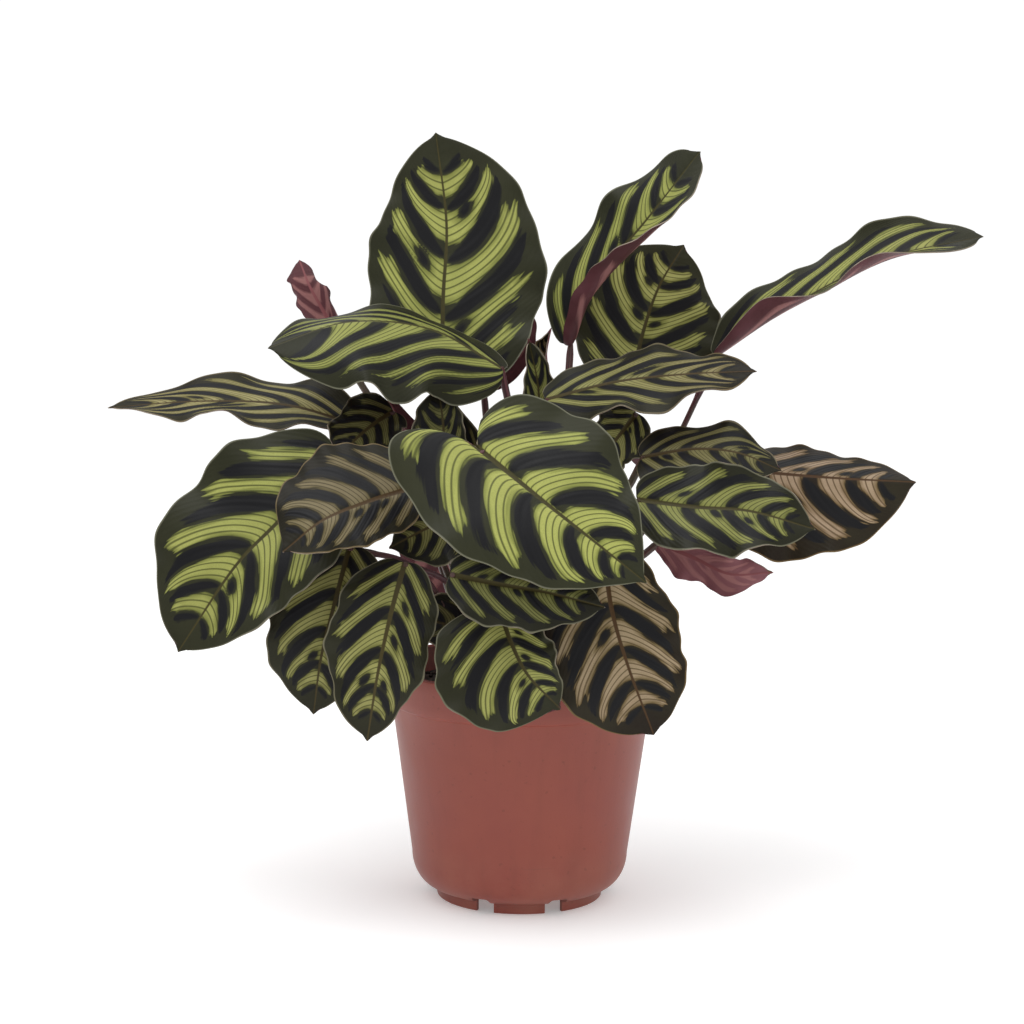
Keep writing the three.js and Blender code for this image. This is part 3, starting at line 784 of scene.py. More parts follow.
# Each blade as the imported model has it, in millimetres, with the look of its own pattern.
BLADES = (
    Blade(
        name="back_upright",
        tone=Tone.GREEN,
        spine=((-36, 20, 222), (-36, 30, 258), (-35, 40, 291), (-40, 48, 329)),
        faces=((0, -1, 0.2), (0, -1, 0.2)),
        left=Half(33, 8, 0, 8),
        right=Half(43, 4, 0, 8),
        wave=(1.5, 2, 0),
        foot=(-4, 8),
        bend=(-24, 14, 160),
        warm=(0.0, 0.08),
        seed=1,
        bands_left=(0.0, 0.2, 0.43, 0.65, 0.82),
        bands_right=(-0.02, 0.17, 0.4, 0.64, 0.81),
    ),
    Blade(
        name="back_left_rolled",
        tone=Tone.MAROON,
        spine=((-78, 56, 226), (-88, 58, 246), (-97, 60, 262), (-102, 70, 272)),
        faces=((-0.5, 0.9, 0.2), (-0.3, 1, 0.2)),
        left=Half(10, 10, 70, 0),
        right=Half(10, 10, 70, 0),
        wave=(0.5, 1, 0),
        taper=0.2,
        foot=(-10, 16),
        bend=(-48, 38, 178),
        warm=(0.1, 0.1),
        seed=2,
        painted_shade=0.5,
    ),
    Blade(
        name="upper_left",
        tone=Tone.GREEN,
        spine=((-10, -8, 231), (-40, -12, 247), (-74, -20, 250), (-105, -30, 240)),
        faces=((0, -0.5, 0.87), (-0.1, -0.55, 0.83)),
        left=Half(38, 0, -40, 8),
        right=Half(22, -20, 0, 8),
        wave=(3, 2.5, 198, 18),
        taper=0.5,
        foot=(-2, 0),
        bend=(0, 2, 175),
        climb=0.75,
        warm=(0.0, 0.0),
        seed=3,
        painted_shade=0.32,
        bands_left=(-0.3, -0.14, 0.02, 0.2, 0.42, 0.66),
        bands_right=(0.05, 0.3, 0.55, 0.78),
    ),
    Blade(
        name="far_left",
        tone=Tone.TAN,
        spine=((-70, 2, 204), (-102, 4, 213), (-138, 8, 214), (-178, 8, 211)),
        faces=((0, -0.5, 0.85), (0, -0.5, 0.85)),
        left=Half(18, 5, 10, 6),
        right=Half(17, 5, 0, 6),
        wave=(4, 2.5, 306, 252),
        taper=0.8,
        foot=(-11, 6),
        bend=(-40, 6, 168),
        climb=0.6,
        warm=(0.45, 0.6),
        seed=4,
        painted_shade=0.15,
    ),
    Blade(
        name="lower_left_broad",
        tone=Tone.GREEN,
        spine=((-78, -38, 192), (-103, -48, 167), (-119, -54, 150), (-140, -60, 118)),
        faces=((-0.1, -0.85, 0.5), (-0.1, -0.9, 0.4)),
        left=Half(30, 5, 0, 10),
        right=Half(38, 5, 0, 14),
        wave=(2, 3, 0, 120),
        foot=(-13, -2),
        bend=(-48, -20, 178),
        warm=(0.0, 0.1),
        seed=5,
        painted_shade=0.1,
    ),
    Blade(
        name="mid_left_tan",
        tone=Tone.TAN,
        spine=((-44, -66, 186), (-62, -74, 181), (-80, -82, 174), (-94, -86, 163)),
        faces=((-0.1, -0.85, 0.5), (-0.2, -0.85, 0.5)),
        left=Half(17, 0, -10, 4),
        right=Half(30, 0, -10, 8),
        wave=(2, 2.5, 0, 90),
        foot=(-10, -10),
        bend=(-30, -28, 176),
        warm=(0.75, 0.7),
        seed=6,
        painted_shade=0.65,
    ),
    Blade(
        name="centre_left_dark",
        tone=Tone.SHADE,
        spine=((-16, -54, 178), (-28, -58, 173), (-40, -60, 168), (-53, -60, 161)),
        faces=((-0.1, -0.9, 0.4), (-0.2, -0.9, 0.4)),
        left=Half(18, 0, 0, 6),
        right=Half(12, 0, 0, 2),
        wave=(1, 2, 0),
        foot=(-5, -13),
        bend=(-8, -38, 142),
        warm=(0.3, 0.2),
        seed=7,
        painted_shade=0.7,
    ),
    Blade(
        name="front_centre_broad",
        tone=Tone.GREEN,
        spine=((-17, -88, 203), (7, -100, 185), (26, -108, 171), (46, -114, 156)),
        faces=((0.1, -0.9, 0.45), (0.1, -0.95, 0.3)),
        left=Half(37, 5, -10, 20),
        right=Half(36, 5, -15, 52),
        wave=(1.5, 2.5, 60),
        taper=0.95,
        foot=(1, -13),
        bend=(-4, -56, 160),
        warm=(0.0, 0.0),
        seed=8,
        bands_left=(-0.12, 0.1, 0.34, 0.6, 0.8),
        bands_right=(-0.14, 0.06, 0.26, 0.5, 0.72, 0.86),
    ),
    Blade(
        name="upper_right_twisted",
        tone=Tone.GREEN,
        spine=((20, 18, 240), (27, 10, 264), (50, 2, 292), (72, -2, 321)),
        faces=((-0.4, -0.9, 0.2), (-0.5, -0.7, 0.5)),
        left=Half(22, 0, -10, 6),
        right=Half(23, 10, 165, 2, 0, ease=1.3),
        wave=(3, 2, 0, 90),
        taper=0.4,
        foot=(6, 5),
        bend=(16, 8, 175),
        warm=(0.0, 0.0),
        seed=9,
        painted_shade=0.15,
    ),
    Blade(
        name="right_upright",
        tone=Tone.GREEN,
        spine=((47, 26, 222), (52, 32, 244), (59, 38, 264), (69, 42, 281)),
        faces=((-0.1, -1, 0.2), (-0.1, -1, 0.3)),
        left=Half(30, 5, 0, 8),
        right=Half(32, 5, 0, 8),
        wave=(1, 2, 0),
        foot=(8, 9),
        bend=(32, 20, 165),
        warm=(0.1, 0.3),
        seed=10,
    ),
    Blade(
        name="far_right_rolled",
        tone=Tone.GREEN,
        spine=((83, 10, 236), (112, 8, 256), (152, 0, 278), (191, -8, 288)),
        faces=((-0.2, -0.6, 0.8), (-0.1, -0.6, 0.8)),
        left=Half(20, 5, 0, 4),
        right=Half(19, 25, 100, 2, -10),
        wave=(4.5, 1.85, 330, 330),
        taper=0.45,
        foot=(13, 8),
        bend=(62, 16, 188),
        climb=0.5,
        warm=(0.0, 0.15),
        seed=11,
        painted_shade=0.1,
    ),
    Blade(
        name="right_olive",
        tone=Tone.TAN,
        spine=((10, -12, 218), (38, -20, 226), (66, -28, 230), (94, -34, 232)),
        faces=((0, -0.6, 0.8), (0, -0.6, 0.8)),
        left=Half(16, 5, 0, 6),
        right=Half(20, 5, -10, 6),
        wave=(3, 2.5, 0, 120),
        foot=(3, -3),
        bend=(4, -6, 165),
        climb=0.55,
        warm=(0.25, 0.8),
        seed=12,
        painted_shade=0.35,
    ),
    Blade(
        name="centre_right_small",
        tone=Tone.GREEN,
        spine=((47, -22, 213), (42, -27, 207), (36, -33, 200), (29, -40, 192)),
        faces=((0.3, -0.9, 0.3), (0.3, -0.9, 0.3)),
        left=Half(11, 5, 0, 2),
        right=Half(11, 5, 0, 2),
        wave=(0.5, 1, 0),
        foot=(9, 1),
        bend=(28, -2, 160),
        warm=(0.2, 0.4),
        seed=13,
        painted_shade=0.35,
    ),
    Blade(
        name="right_dark",
        tone=Tone.SHADE,
        spine=((50, -34, 196), (70, -40, 200), (88, -44, 199), (104, -48, 193)),
        faces=((0.1, -0.6, 0.8), (0.1, -0.6, 0.8)),
        left=Half(13, 10, 0, 6),
        right=Half(24, 0, -10, 6),
        wave=(2.4, 2, 0, 120),
        foot=(11, -5),
        bend=(30, -22, 150),
        climb=0.55,
        warm=(0.45, 0.4),
        seed=14,
        painted_shade=0.65,
    ),
    Blade(
        name="right_lower_green",
        tone=Tone.GREEN,
        spine=((47, -60, 181), (69, -66, 179), (91, -70, 178), (115, -74, 172)),
        faces=((0, -0.75, 0.65), (0, -0.8, 0.6)),
        left=Half(18, 10, 10, 6),
        right=Half(20, 0, -10, 6),
        wave=(2.5, 2.5, 0, 150),
        foot=(10, -10),
        bend=(26, -42, 148),
        warm=(0.05, 0.1),
        seed=15,
        painted_shade=0.45,
    ),
    Blade(
        name="far_right_tan",
        tone=Tone.TAN,
        spine=((76, -6, 190), (106, -8, 187), (136, -10, 185), (165, -12, 184)),
        faces=((0, -0.95, 0.3), (0, -0.95, 0.3)),
        left=Half(24, -50, 0, 0),
        right=Half(36, 0, 0, 4),
        wave=(1, 2, 0),
        foot=(15, 2),
        bend=(50, 6, 156),
        warm=(1.0, 0.95),
        seed=16,
    ),
    Blade(
        name="right_underside",
        tone=Tone.MAROON,
        spine=((58, -10, 157), (73, -14, 151), (88, -20, 145), (104, -22, 146)),
        faces=((0, 0.9, 0.3), (0.2, 0.9, 0.3)),
        left=Half(10, 0, 0, 2),
        right=Half(9, 0, 0, 2),
        wave=(2.5, 2.5, 0, 90),
        foot=(14, -7),
        bend=(40, -10, 138),
        warm=(0.9, 0.9),
        seed=17,
    ),
    Blade(
        name="front_right_hanging",
        tone=Tone.TAN,
        spine=((33, -66, 158), (36, -72, 137), (43, -74, 114), (53, -72, 88)),
        faces=((0.1, -1, 0.1), (0.1, -1, 0)),
        left=Half(24, 0, 0, 8),
        right=Half(30, 0, 0, 8),
        wave=(1, 2, 0),
        taper=0.5,
        foot=(8, -15),
        bend=(20, -44, 138),
        warm=(0.85, 0.95),
        seed=18,
        painted_shade=0.1,
    ),
    Blade(
        name="front_centre_hanging",
        tone=Tone.GREEN,
        spine=((-9, -80, 138), (-5, -86, 127), (2, -90, 114), (14, -88, 101)),
        faces=((0, -1, 0.2), (0, -1, 0.1)),
        left=Half(14, 5, 0, 6),
        right=Half(33, 0, 0, 8),
        wave=(1, 2, 0),
        foot=(1, -18),
        bend=(-3, -50, 124),
        warm=(0.1, 0.1),
        seed=19,
        painted_shade=0.1,
    ),
    Blade(
        name="front_dark_low",
        tone=Tone.SHADE,
        spine=((-28, -98, 155), (-10, -101, 152), (10, -103, 149), (30, -103, 144)),
        faces=((0, -0.9, 0.3), (0, -0.9, 0.3)),
        left=Half(14, 0, 0, 4),
        right=Half(16, 0, 0, 4),
        wave=(1.5, 2, 0),
        foot=(-5, -18),
        bend=(-18, -62, 138),
        warm=(0.1, 0.1),
        seed=20,
        painted_shade=0.7,
    ),
    Blade(
        name="low_left_hanging",
        tone=Tone.GREEN,
        spine=((-72, -46, 158), (-78, -52, 134), (-83, -54, 113), (-86, -52, 91)),
        faces=((-0.1, -1, 0.1), (-0.1, -1, 0)),
        left=Half(20, 0, 0, 4),
        right=Half(25, 5, 0, 4),
        wave=(2, 2, 90, 0),
        foot=(-15, -8),
        bend=(-42, -28, 144),
        warm=(0.2, 0.25),
        seed=21,
        painted_shade=0.25,
    ),
    Blade(
        name="front_left_hanging",
        tone=Tone.GREEN,
        spine=((-48, -70, 155), (-53, -78, 136), (-58, -82, 112), (-62, -80, 86)),
        faces=((-0.1, -1, 0.1), (0, -1, 0)),
        left=Half(18, -10, 0, 4),
        right=Half(23, -10, 0, 4),
        wave=(2.5, 2, 0, 180),
        foot=(-11, -15),
        bend=(-28, -46, 140),
        warm=(0.15, 0.3),
        seed=22,
        painted_shade=0.3,
    ),
    Blade(
        name="inner_left_dark",
        tone=Tone.SHADE,
        spine=((-56, -14, 212), (-64, -20, 207), (-71, -26, 201), (-77, -32, 194)),
        faces=((-0.2, -0.9, 0.4), (-0.3, -0.9, 0.3)),
        left=Half(14, 0, 20, 4),
        right=Half(14, 0, 20, 4),
        wave=(2, 1.5, 0),
        foot=(-18, 4),
        bend=(-44, -4, 172),
        warm=(0.3, 0.3),
        seed=23,
        painted_shade=0.75,
    ),
    Blade(
        name="inner_shade",
        tone=Tone.SHADE,
        spine=((-34, -22, 172), (-33, -24, 190), (-34, -24, 207), (-36, -22, 222)),
        faces=((0.2, -1, 0.1), (0.3, -1, 0)),
        left=Half(17, 0, 10, 4),
        right=Half(10, 0, 10, 4),
        wave=(1, 1.5, 0),
        foot=(-8, -6),
        bend=(-26, -16, 140),
        warm=(0.2, 0.2),
        seed=24,
        painted_shade=0.75,
    ),
    Blade(
        name="inner_upright_narrow",
        tone=Tone.SHADE,
        spine=((6, 14, 178), (7, 16, 200), (6, 17, 221), (2, 18, 240)),
        faces=((0.3, -1, 0), (0.3, -1, 0)),
        left=Half(9, 15, 30, 2),
        right=Half(9, 15, 30, 2),
        wave=(0.5, 1.5, 0),
        furled=True,
        foot=(0, 9),
        bend=(5, 12, 140),
        warm=(0.1, 0.1),
        seed=25,
        painted_shade=0.5,
    ),
    Blade(
        name="young_spear",
        tone=Tone.MAROON,
        spine=((10, 27, 214), (10, 28, 225), (9, 29, 235), (11, 28, 244)),
        faces=((-0.6, -1, 0), (-0.6, -1, 0)),
        left=Half(6, 30, 60, 0),
        right=Half(6, 30, 60, 0),
        wave=(0.3, 1, 0),
        furled=True,
        foot=(4, 14),
        bend=(9, 22, 160),
        warm=(0.8, 0.8),
        seed=26,
        painted_shade=0.4,
    ),
    Blade(
        name="rear_upright",
        tone=Tone.GREEN,
        spine=((-18, 52, 216), (-24, 66, 242), (-30, 76, 264), (-36, 80, 288)),
        faces=((0.2, 1, 0.3), (0.1, 1, 0.2)),
        left=Half(30, 5, 0, 4),
        right=Half(30, 5, 0, 4),
        wave=(1.5, 2, 0),
        foot=(-3, 17),
        bend=(-12, 42, 158),
        warm=(0.0, 0.1),
        seed=27,
    ),
    Blade(
        name="rear_right_broad",
        tone=Tone.GREEN,
        spine=((40, 50, 196), (56, 72, 192), (72, 92, 180), (86, 106, 160)),
        faces=((0.4, 0.5, 0.8), (0.5, 0.7, 0.5)),
        left=Half(28, 5, 0, 12),
        right=Half(28, 5, 0, 12),
        wave=(1.5, 2.5, 30),
        foot=(10, 14),
        bend=(26, 30, 160),
        warm=(0.0, 0.1),
        seed=28,
    ),
    Blade(
        name="rear_left_broad",
        tone=Tone.GREEN,
        spine=((-38, 64, 188), (-58, 84, 186), (-76, 100, 174), (-90, 112, 154)),
        faces=((-0.4, 0.5, 0.8), (-0.5, 0.7, 0.5)),
        left=Half(28, 5, 0, 12),
        right=Half(28, 5, 0, 12),
        wave=(1.5, 2.5, 70),
        foot=(-17, 17),
        bend=(-26, 46, 150),
        warm=(0.1, 0.2),
        seed=29,
    ),
    Blade(
        name="rear_hanging",
        tone=Tone.GREEN,
        spine=((-24, 76, 172), (-27, 93, 156), (-29, 104, 132), (-30, 108, 100)),
        faces=((0.1, 0.8, 0.6), (0, 1, 0.2)),
        left=Half(30, 5, 0, 10),
        right=Half(30, 5, 0, 10),
        wave=(1.5, 2, 0),
        foot=(-6, 22),
        bend=(-14, 50, 150),
        warm=(0.0, 0.1),
        seed=30,
    ),
)

# Sheath leaves that the solids leave out, and one dark sheet of painted shade low in the clump.
# Their spines start from the middle of the soil's top, in mm.
SHEATHS_AND_SHADOW_SHEET = (
    Blade(
        name="sheath_left",
        tone=Tone.MAROON,
        spine=((-8, 2, -3), (-20, -2, 45), (-36, -6, 85), (-58, -8, 123)),
        faces=((0.2, 1, 0.1), (0.3, 1, 0.3)),
        left=Half(11, 20, 30, 0),
        right=Half(11, 20, 30, 0),
        wave=(1.5, 2, 0),
        foot=(-8, 2),
        bend=(-14, 2, 110),
        has_solid=False,
        warm=(0.3, 0.4),
        painted_shade=0.4,
        seed=41,
    ),
    Blade(
        name="sheath_middle",
        tone=Tone.SHADE,
        spine=((-4, 6, -3), (-10, 4, 45), (-22, 0, 90), (-38, -4, 128)),
        faces=((0.2, -1, 0.1), (0.3, -1, 0.2)),
        left=Half(9, 25, 40, 0),
        right=Half(13, 25, 30, 0),
        wave=(1.5, 2, 90),
        foot=(-6, 4),
        bend=(-8, 4, 110),
        has_solid=False,
        warm=(0.3, 0.3),
        painted_shade=0.7,
        seed=42,
    ),
    Blade(
        name="sheath_right",
        tone=Tone.SHADE,
        spine=((6, 4, -3), (14, 2, 40), (26, -4, 80), (44, -8, 112)),
        faces=((-0.2, -1, 0.1), (-0.2, -1, 0.3)),
        left=Half(11, 25, 30, 0),
        right=Half(10, 25, 30, 0),
        wave=(1.5, 2, 30),
        foot=(6, 2),
        bend=(10, 4, 110),
        has_solid=False,
        warm=(0.4, 0.4),
        painted_shade=0.6,
        seed=43,
    ),
    # Painted shade: a dark sheet, darkened towards near black, that fills the shadow between the hanging
    # leaves above the rim.
    Blade(
        name="shadow_sheet_low",
        tone=Tone.SHADE,
        spine=((-10, -10, -3), (-20, -16, 16), (-32, -22, 28), (-50, -30, 32)),
        faces=((0.1, -1, 0.3), (0.1, -1, 0.3)),
        left=Half(14, 10, 20, 0),
        right=Half(15, 10, 20, 0),
        wave=(1.5, 2, 200),
        foot=(-6, -4),
        bend=(-8, -6, 110),
        has_solid=False,
        warm=(0.3, 0.3),
        painted_shade=0.8,
        seed=44,
    ),
)


# ---------------------------------------------------------------- stalks


@dataclass(frozen=True)
class StalkFinish:
    """Smooth living stalk skin: wine red with greener patches, lightly glossy."""

    dark: str = "33191f"
    light: str = "6a3a3f"
    green: str = "3f4426"
    roughness: float = 0.42
    ior: float = 1.45

    def material(self) -> bpy.types.Material:
        """Make the stalk skin with lengthwise streaks.

        Returns:
            The material.
        """
        # Smooth living stalk: lengthwise fibres that catch a thin highlight.
        material, tree = new_material("leaf_stalk_skin_smooth")
        stored_place = add(tree, "Attribute", attribute_name="place").node.outputs["Vector"]
        place = add(tree, "SeparateXYZ", stored_place).node.outputs
        object_place = add(tree, "TexCoord").node.outputs["Object"]
        around = add(tree, "Math", place[0], 9.0, operation="MULTIPLY")
        along = add(tree, "Math", place[1], 5.0, operation="MULTIPLY")
        fibre = add(
            tree, "TexNoise", Vector=add(tree, "CombineXYZ", around, along, place[2]), Scale=1.0,
            Detail=2.0,
        )
        cloud = add(tree, "TexNoise", Vector=object_place, Scale=45.0, Detail=2.0)
        skin = add(tree, "MixRGB", add(tree, "MapRange", fibre, 0.35, 0.7), self.dark, self.light)
        skin = add(tree, "MixRGB", add(tree, "MapRange", cloud, 0.45, 0.7, 0.0, 0.8), skin, self.green)
        bump = add(tree, "Bump", Strength=0.4, Distance=0.0003, Height=fibre)
        shader = add(
            tree, "BsdfPrincipled", Base_Color=skin, Roughness=self.roughness, IOR=self.ior, Normal=bump,
        )
        add(tree, "OutputMaterial", shader)
        return material


@dataclass
class Stalk:
    """A leaf's stalk: a sheathing foot, a slender middle and a swollen joint.

    Attributes:
        name: The leaf's name.
        foot: Where it leaves the soil, in millimetres.
        bend: The point that it passes through.
        base: Where the blade begins.
    """

    name: str
    foot: tuple[float, float]
    bend: Triple
    base: Triple

    SIDES = 14
    ROWS = 60
    FOOT_RADIUS = 2.6
    MIDDLE_RADIUS = 1.25
    JOINT_RADIUS = 1.6
    JOINT_SHARE = 0.1
    BURIED = 4.0

    def radius(self, share: np.ndarray) -> np.ndarray:
        """Give the stalk's radius along its length.

        Args:
            share: Shares of the stalk's length, from the soil to the blade.

        Returns:
            Radii in millimetres.
        """
        sheath = (self.FOOT_RADIUS - self.MIDDLE_RADIUS) * (1 - smoothstep(0.0, 0.5, share))
        swell = (self.JOINT_RADIUS - self.MIDDLE_RADIUS) * smoothstep(
            1 - 1.4 * self.JOINT_SHARE, 1 - self.JOINT_SHARE, share,
        )
        close = 1 - 0.35 * smoothstep(0.97, 1.0, share)
        return (self.MIDDLE_RADIUS + sheath + swell) * close

    def build(self, skin: bpy.types.Material, soil_top: float) -> bpy.types.Object:
        """Model the stalk and dress it.

        Args:
            skin: The stalk's material.
            soil_top: Height of the soil where the stalk stands, in millimetres.

        Returns:
            The finished stalk.
        """
        root = (self.foot[0], self.foot[1], soil_top - self.BURIED)
        curve = Curve((root, self.bend, self.base))

        def shape(u: np.ndarray, v: np.ndarray) -> np.ndarray:
            """Give the places of the sheet's points in millimetres."""
            angle = 2 * math.pi * u
            tangent = curve.tangent(v)
            side = np.cross(tangent, np.array([0.31, -0.95, 0.05]))
            side /= np.linalg.norm(side, axis=-1, keepdims=True)
            front = np.cross(side, tangent)
            ring = self.radius(v)
            flute = 1 + 0.05 * np.cos(5 * angle) * (1 - v)
            return (
                curve.at(v)
                + side * (ring * flute * np.cos(angle))[:, None]
                + front * (ring * flute * np.sin(angle))[:, None]
            )

        stalk, u, v = sheet("stem_" + self.name, self.SIDES, self.ROWS, shape)
        layer = stalk.data.attributes.new("place", "FLOAT_VECTOR", "POINT")
        seed = float(sum(self.foot))
        wrapped = np.abs(2 * (u % 1.0) - 1)
        layer.data.foreach_set(
            "vector", np.stack([wrapped, v, np.full(len(u), seed)], -1).astype(np.float32).ravel(),
        )
        stalk.data.materials.append(skin)
        edit(
            stalk,
            ("remove_doubles", {"threshold": 1e-5}),
            ("fill_holes", {"sides": self.SIDES}),
            ("normals_make_consistent", {"inside": False}),
        )
        select_only(stalk)
        bpy.ops.object.shade_smooth_by_angle(angle=math.radians(60))
        return stalk


# ---------------------------------------------------------------- pot


def solid_top(node: str) -> float:
    """Give the height of a solid's top in millimetres, to a tenth."""
    return round(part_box(node)[1][2] / MM, 1)


def solid_radius(node: str) -> float:
    """Give the radius of a round solid in millimetres, to a tenth."""
    return round(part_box(node)[1][0] / MM, 1)


@dataclass(frozen=True)
class PlasticFinish:
    """Injection-moulded polypropylene in terracotta: satin, scuffed, dusty near the foot."""

    body: str = "83382a"
    faded: str = "8f4735"
    dark: str = "6e3022"
    dust: str = "9a6a58"
    roughness: float = 0.42
    ior: float = 1.49

    def material(self) -> bpy.types.Material:
        """Make the moulded plastic.

        Returns:
            The material.
        """
        # Moulded polypropylene: satin, a little cloudy, with flow lines up and scuffs round.
        material, tree = new_material("terracotta_polypropylene_moulded")
        place = add(tree, "TexCoord").node.outputs["Object"]
        height = add(tree, "SeparateXYZ", place).node.outputs[2]
        cloud = add(tree, "TexNoise", Vector=place, Scale=28.0, Detail=4.0, Roughness=0.6)
        speck = add(tree, "TexNoise", Vector=place, Scale=420.0, Detail=2.0)
        flow = add(
            tree, "TexNoise", Vector=add(tree, "Mapping", place, Scale=(150.0, 150.0, 14.0)), Scale=1.0,
            Detail=3.0,
        )
        scuff = add(
            tree, "TexNoise",
            Vector=add(tree, "Mapping", place, Rotation=(0.3, 0.5, 0.2), Scale=(22.0, 22.0, 320.0)),
            Scale=1.0, Detail=2.0,
        )
        skin = add(
            tree, "MixRGB", add(tree, "MapRange", cloud, 0.35, 0.7, 0.0, 0.55), self.body, self.faded,
        )
        skin = add(tree, "MixRGB", add(tree, "MapRange", flow, 0.5, 0.8, 0.0, 0.3), skin, self.dark)
        skin = add(tree, "MixRGB", add(tree, "MapRange", speck, 0.66, 0.74, 0.0, 0.5), skin, self.dark)
        skin = add(tree, "MixRGB", add(tree, "MapRange", scuff, 0.72, 0.78, 0.0, 0.35), skin, "6b3a2c")
        low = add(tree, "MapRange", height, 0.03, 0.0, 0.0, 0.35)
        skin = add(
            tree, "MixRGB",
            add(tree, "Math", low, add(tree, "MapRange", cloud, 0.4, 0.65), operation="MULTIPLY"), skin,
            self.dust,
        )
        rough = add(tree, "MapRange", cloud, 0.3, 0.7, self.roughness - 0.05, self.roughness + 0.1)
        grain = add(tree, "TexNoise", Vector=place, Scale=1400.0, Detail=2.0)
        bump = add(tree, "Bump", Strength=0.15, Distance=0.0002, Height=grain)
        shader = add(tree, "BsdfPrincipled", Base_Color=skin, Roughness=rough, IOR=self.ior, Normal=bump)
        add(tree, "OutputMaterial", shader)
        return material


@dataclass
class NurseryPot:
    """A thin round pot with a rolled rim band, a rounded corner and a notched foot.

    Sizes in millimetres.
    """

    height: float = field(default_factory=lambda: solid_top("pot"))
    wall: float = 1.5
    taper: float = 0.137
    rim_radius: float = field(default_factory=lambda: solid_radius("pot"))
    rim_height: float = 16.5
    rim_step: float = 1.6
    corner_radius: float = 15
    foot_radius: float = 36
    foot_height: float = 4.5
    pad_radius: float = 9
    notch_size: Triple = (14, 8, 7.5)
    notch_angles: tuple[float, ...] = (-66, -114, 6, 54, 126, 174)
    sides: int = 144

    LIP_RADIUS = 0.75

    def wall_radius(self, height: float) -> float:
        """Give the outer radius of the tapered wall at a height."""
        return self.rim_radius - self.rim_step - self.taper * (self.height - height)

    def corner(self, inset: float, steps: int = 12) -> list[tuple[float, float]]:
        """Give the rounded corner between foot and wall.

        Args:
            inset: How far inside the outer face, in millimetres.
            steps: Straight steps in the quarter turn.

        Returns:
            Radius and height of each point, from the foot up.
        """
        outer = self.wall_radius(self.foot_height + self.corner_radius)
        ring = []
        for i in range(steps + 1):
            angle = math.pi / 2 * i / steps
            across = outer - self.foot_radius - inset
            drop = (self.corner_radius - inset) * (1 - math.cos(angle))
            ring.append((self.foot_radius + across * math.sin(angle), self.foot_height + inset + drop))
        return ring

    def profile(self) -> list[tuple[float, float]]:
        """Give the pot's section.

        Returns:
            Radius and height of each point, from under the floor round to inside.
        """
        band = self.height - self.rim_height
        ledge = self.wall_radius(band)
        foot_inner = self.foot_radius - 1.4 * self.wall
        inner_rim = self.rim_radius - self.wall - self.rim_step
        wall_steps = [band * s + (self.foot_height + self.corner_radius) * (1 - s) for s in (0.25, 0.5, 0.75)]
        bead = self.LIP_RADIUS
        turns = np.radians((0, 30, 60, 90))
        lip = [
            (self.rim_radius - bead + bead * math.cos(a), self.height - bead + bead * math.sin(a))
            for a in turns
        ]
        lip_in = [
            (inner_rim + bead - bead * math.sin(a), self.height - bead + bead * math.cos(a))
            for a in turns
        ]
        band_top = ledge + self.rim_step
        return [
            (1.0, 0.0),
            (self.pad_radius - 0.4, 0.0),
            (self.pad_radius, 0.4),
            (self.pad_radius, self.foot_height),
            (foot_inner, self.foot_height),
            (foot_inner, 0.3),
            (foot_inner + 0.3, 0.0),
            (self.foot_radius - 0.3, 0.0),
            (self.foot_radius, 0.3),
            *self.corner(0),
            *[(self.wall_radius(z), z) for z in wall_steps],
            (ledge, band - 0.25),
            (ledge + 0.2, band),
            (ledge + self.rim_step - 0.35, band + self.rim_step / 2 - 0.25),
            (ledge + self.rim_step, band + self.rim_step / 2 + 0.35),
            *[
                (band_top + (self.rim_radius - band_top) * s, band + self.rim_height * s)
                for s in (0.3, 0.65)
            ],
            *lip,
            *lip_in,
            *[(inner, z) for inner, z in reversed(self.corner(self.wall))],
            (self.pad_radius, self.foot_height + self.wall),
            (1.0, self.foot_height + self.wall),
        ]

    def turn(self) -> bpy.types.Object:
        """Draw the section up from one ring of edges, as on a wheel.

        Returns:
            The closed pot without its notches.
        """
        profile = self.profile()
        radius, height = profile[0]
        bpy.ops.object.select_all(action="DESELECT")
        bpy.ops.mesh.primitive_circle_add(vertices=self.sides, radius=radius * MM, location=(0, 0, 0))
        pot = bpy.context.active_object
        pot.name = pot.data.name = "nursery_pot"
        bpy.ops.object.mode_set(mode="EDIT")
        bpy.ops.mesh.select_all(action="SELECT")
        for next_radius, next_height in profile[1:]:
            bpy.ops.mesh.extrude_edges_move(
                TRANSFORM_OT_translate={"value": (0, 0, (next_height - height) * MM)}
            )
            share = next_radius / radius
            bpy.ops.transform.resize(value=(share, share, 1), center_override=(0, 0, 0))
            radius, height = next_radius, next_height
        bpy.ops.object.mode_set(mode="OBJECT")
        edit(
            pot,
            ("remove_doubles", {"threshold": 1e-6}),
            ("fill_holes", {"sides": self.sides}),
            ("normals_make_consistent", {"inside": False}),
        )
        return pot

    def cutter(self) -> bpy.types.Object:
        """Set a ring of blocks where the drain notches go.

        Returns:
            The blocks, joined.
        """
        blocks = []
        long, wide, high = self.notch_size
        for angle in self.notch_angles:
            turn = math.radians(angle)
            bpy.ops.object.select_all(action="DESELECT")
            bpy.ops.mesh.primitive_cube_add(
                size=1.0, scale=(long * MM, wide * MM, 2 * high * MM), rotation=(0, 0, turn),
                location=(
                    self.foot_radius * MM * math.cos(turn), self.foot_radius * MM * math.sin(turn), 0,
                ),
            )
            block = bpy.context.active_object
            bpy.ops.object.transform_apply(location=True, rotation=True, scale=True)
            apply_modifier(block, "BEVEL", width=1.2 * MM, segments=3, limit_method="ANGLE")
            blocks.append(block)
        bpy.ops.object.select_all(action="DESELECT")
        for block in blocks:
            block.select_set(True)
        bpy.context.view_layer.objects.active = blocks[0]
        bpy.ops.object.join()
        return blocks[0]

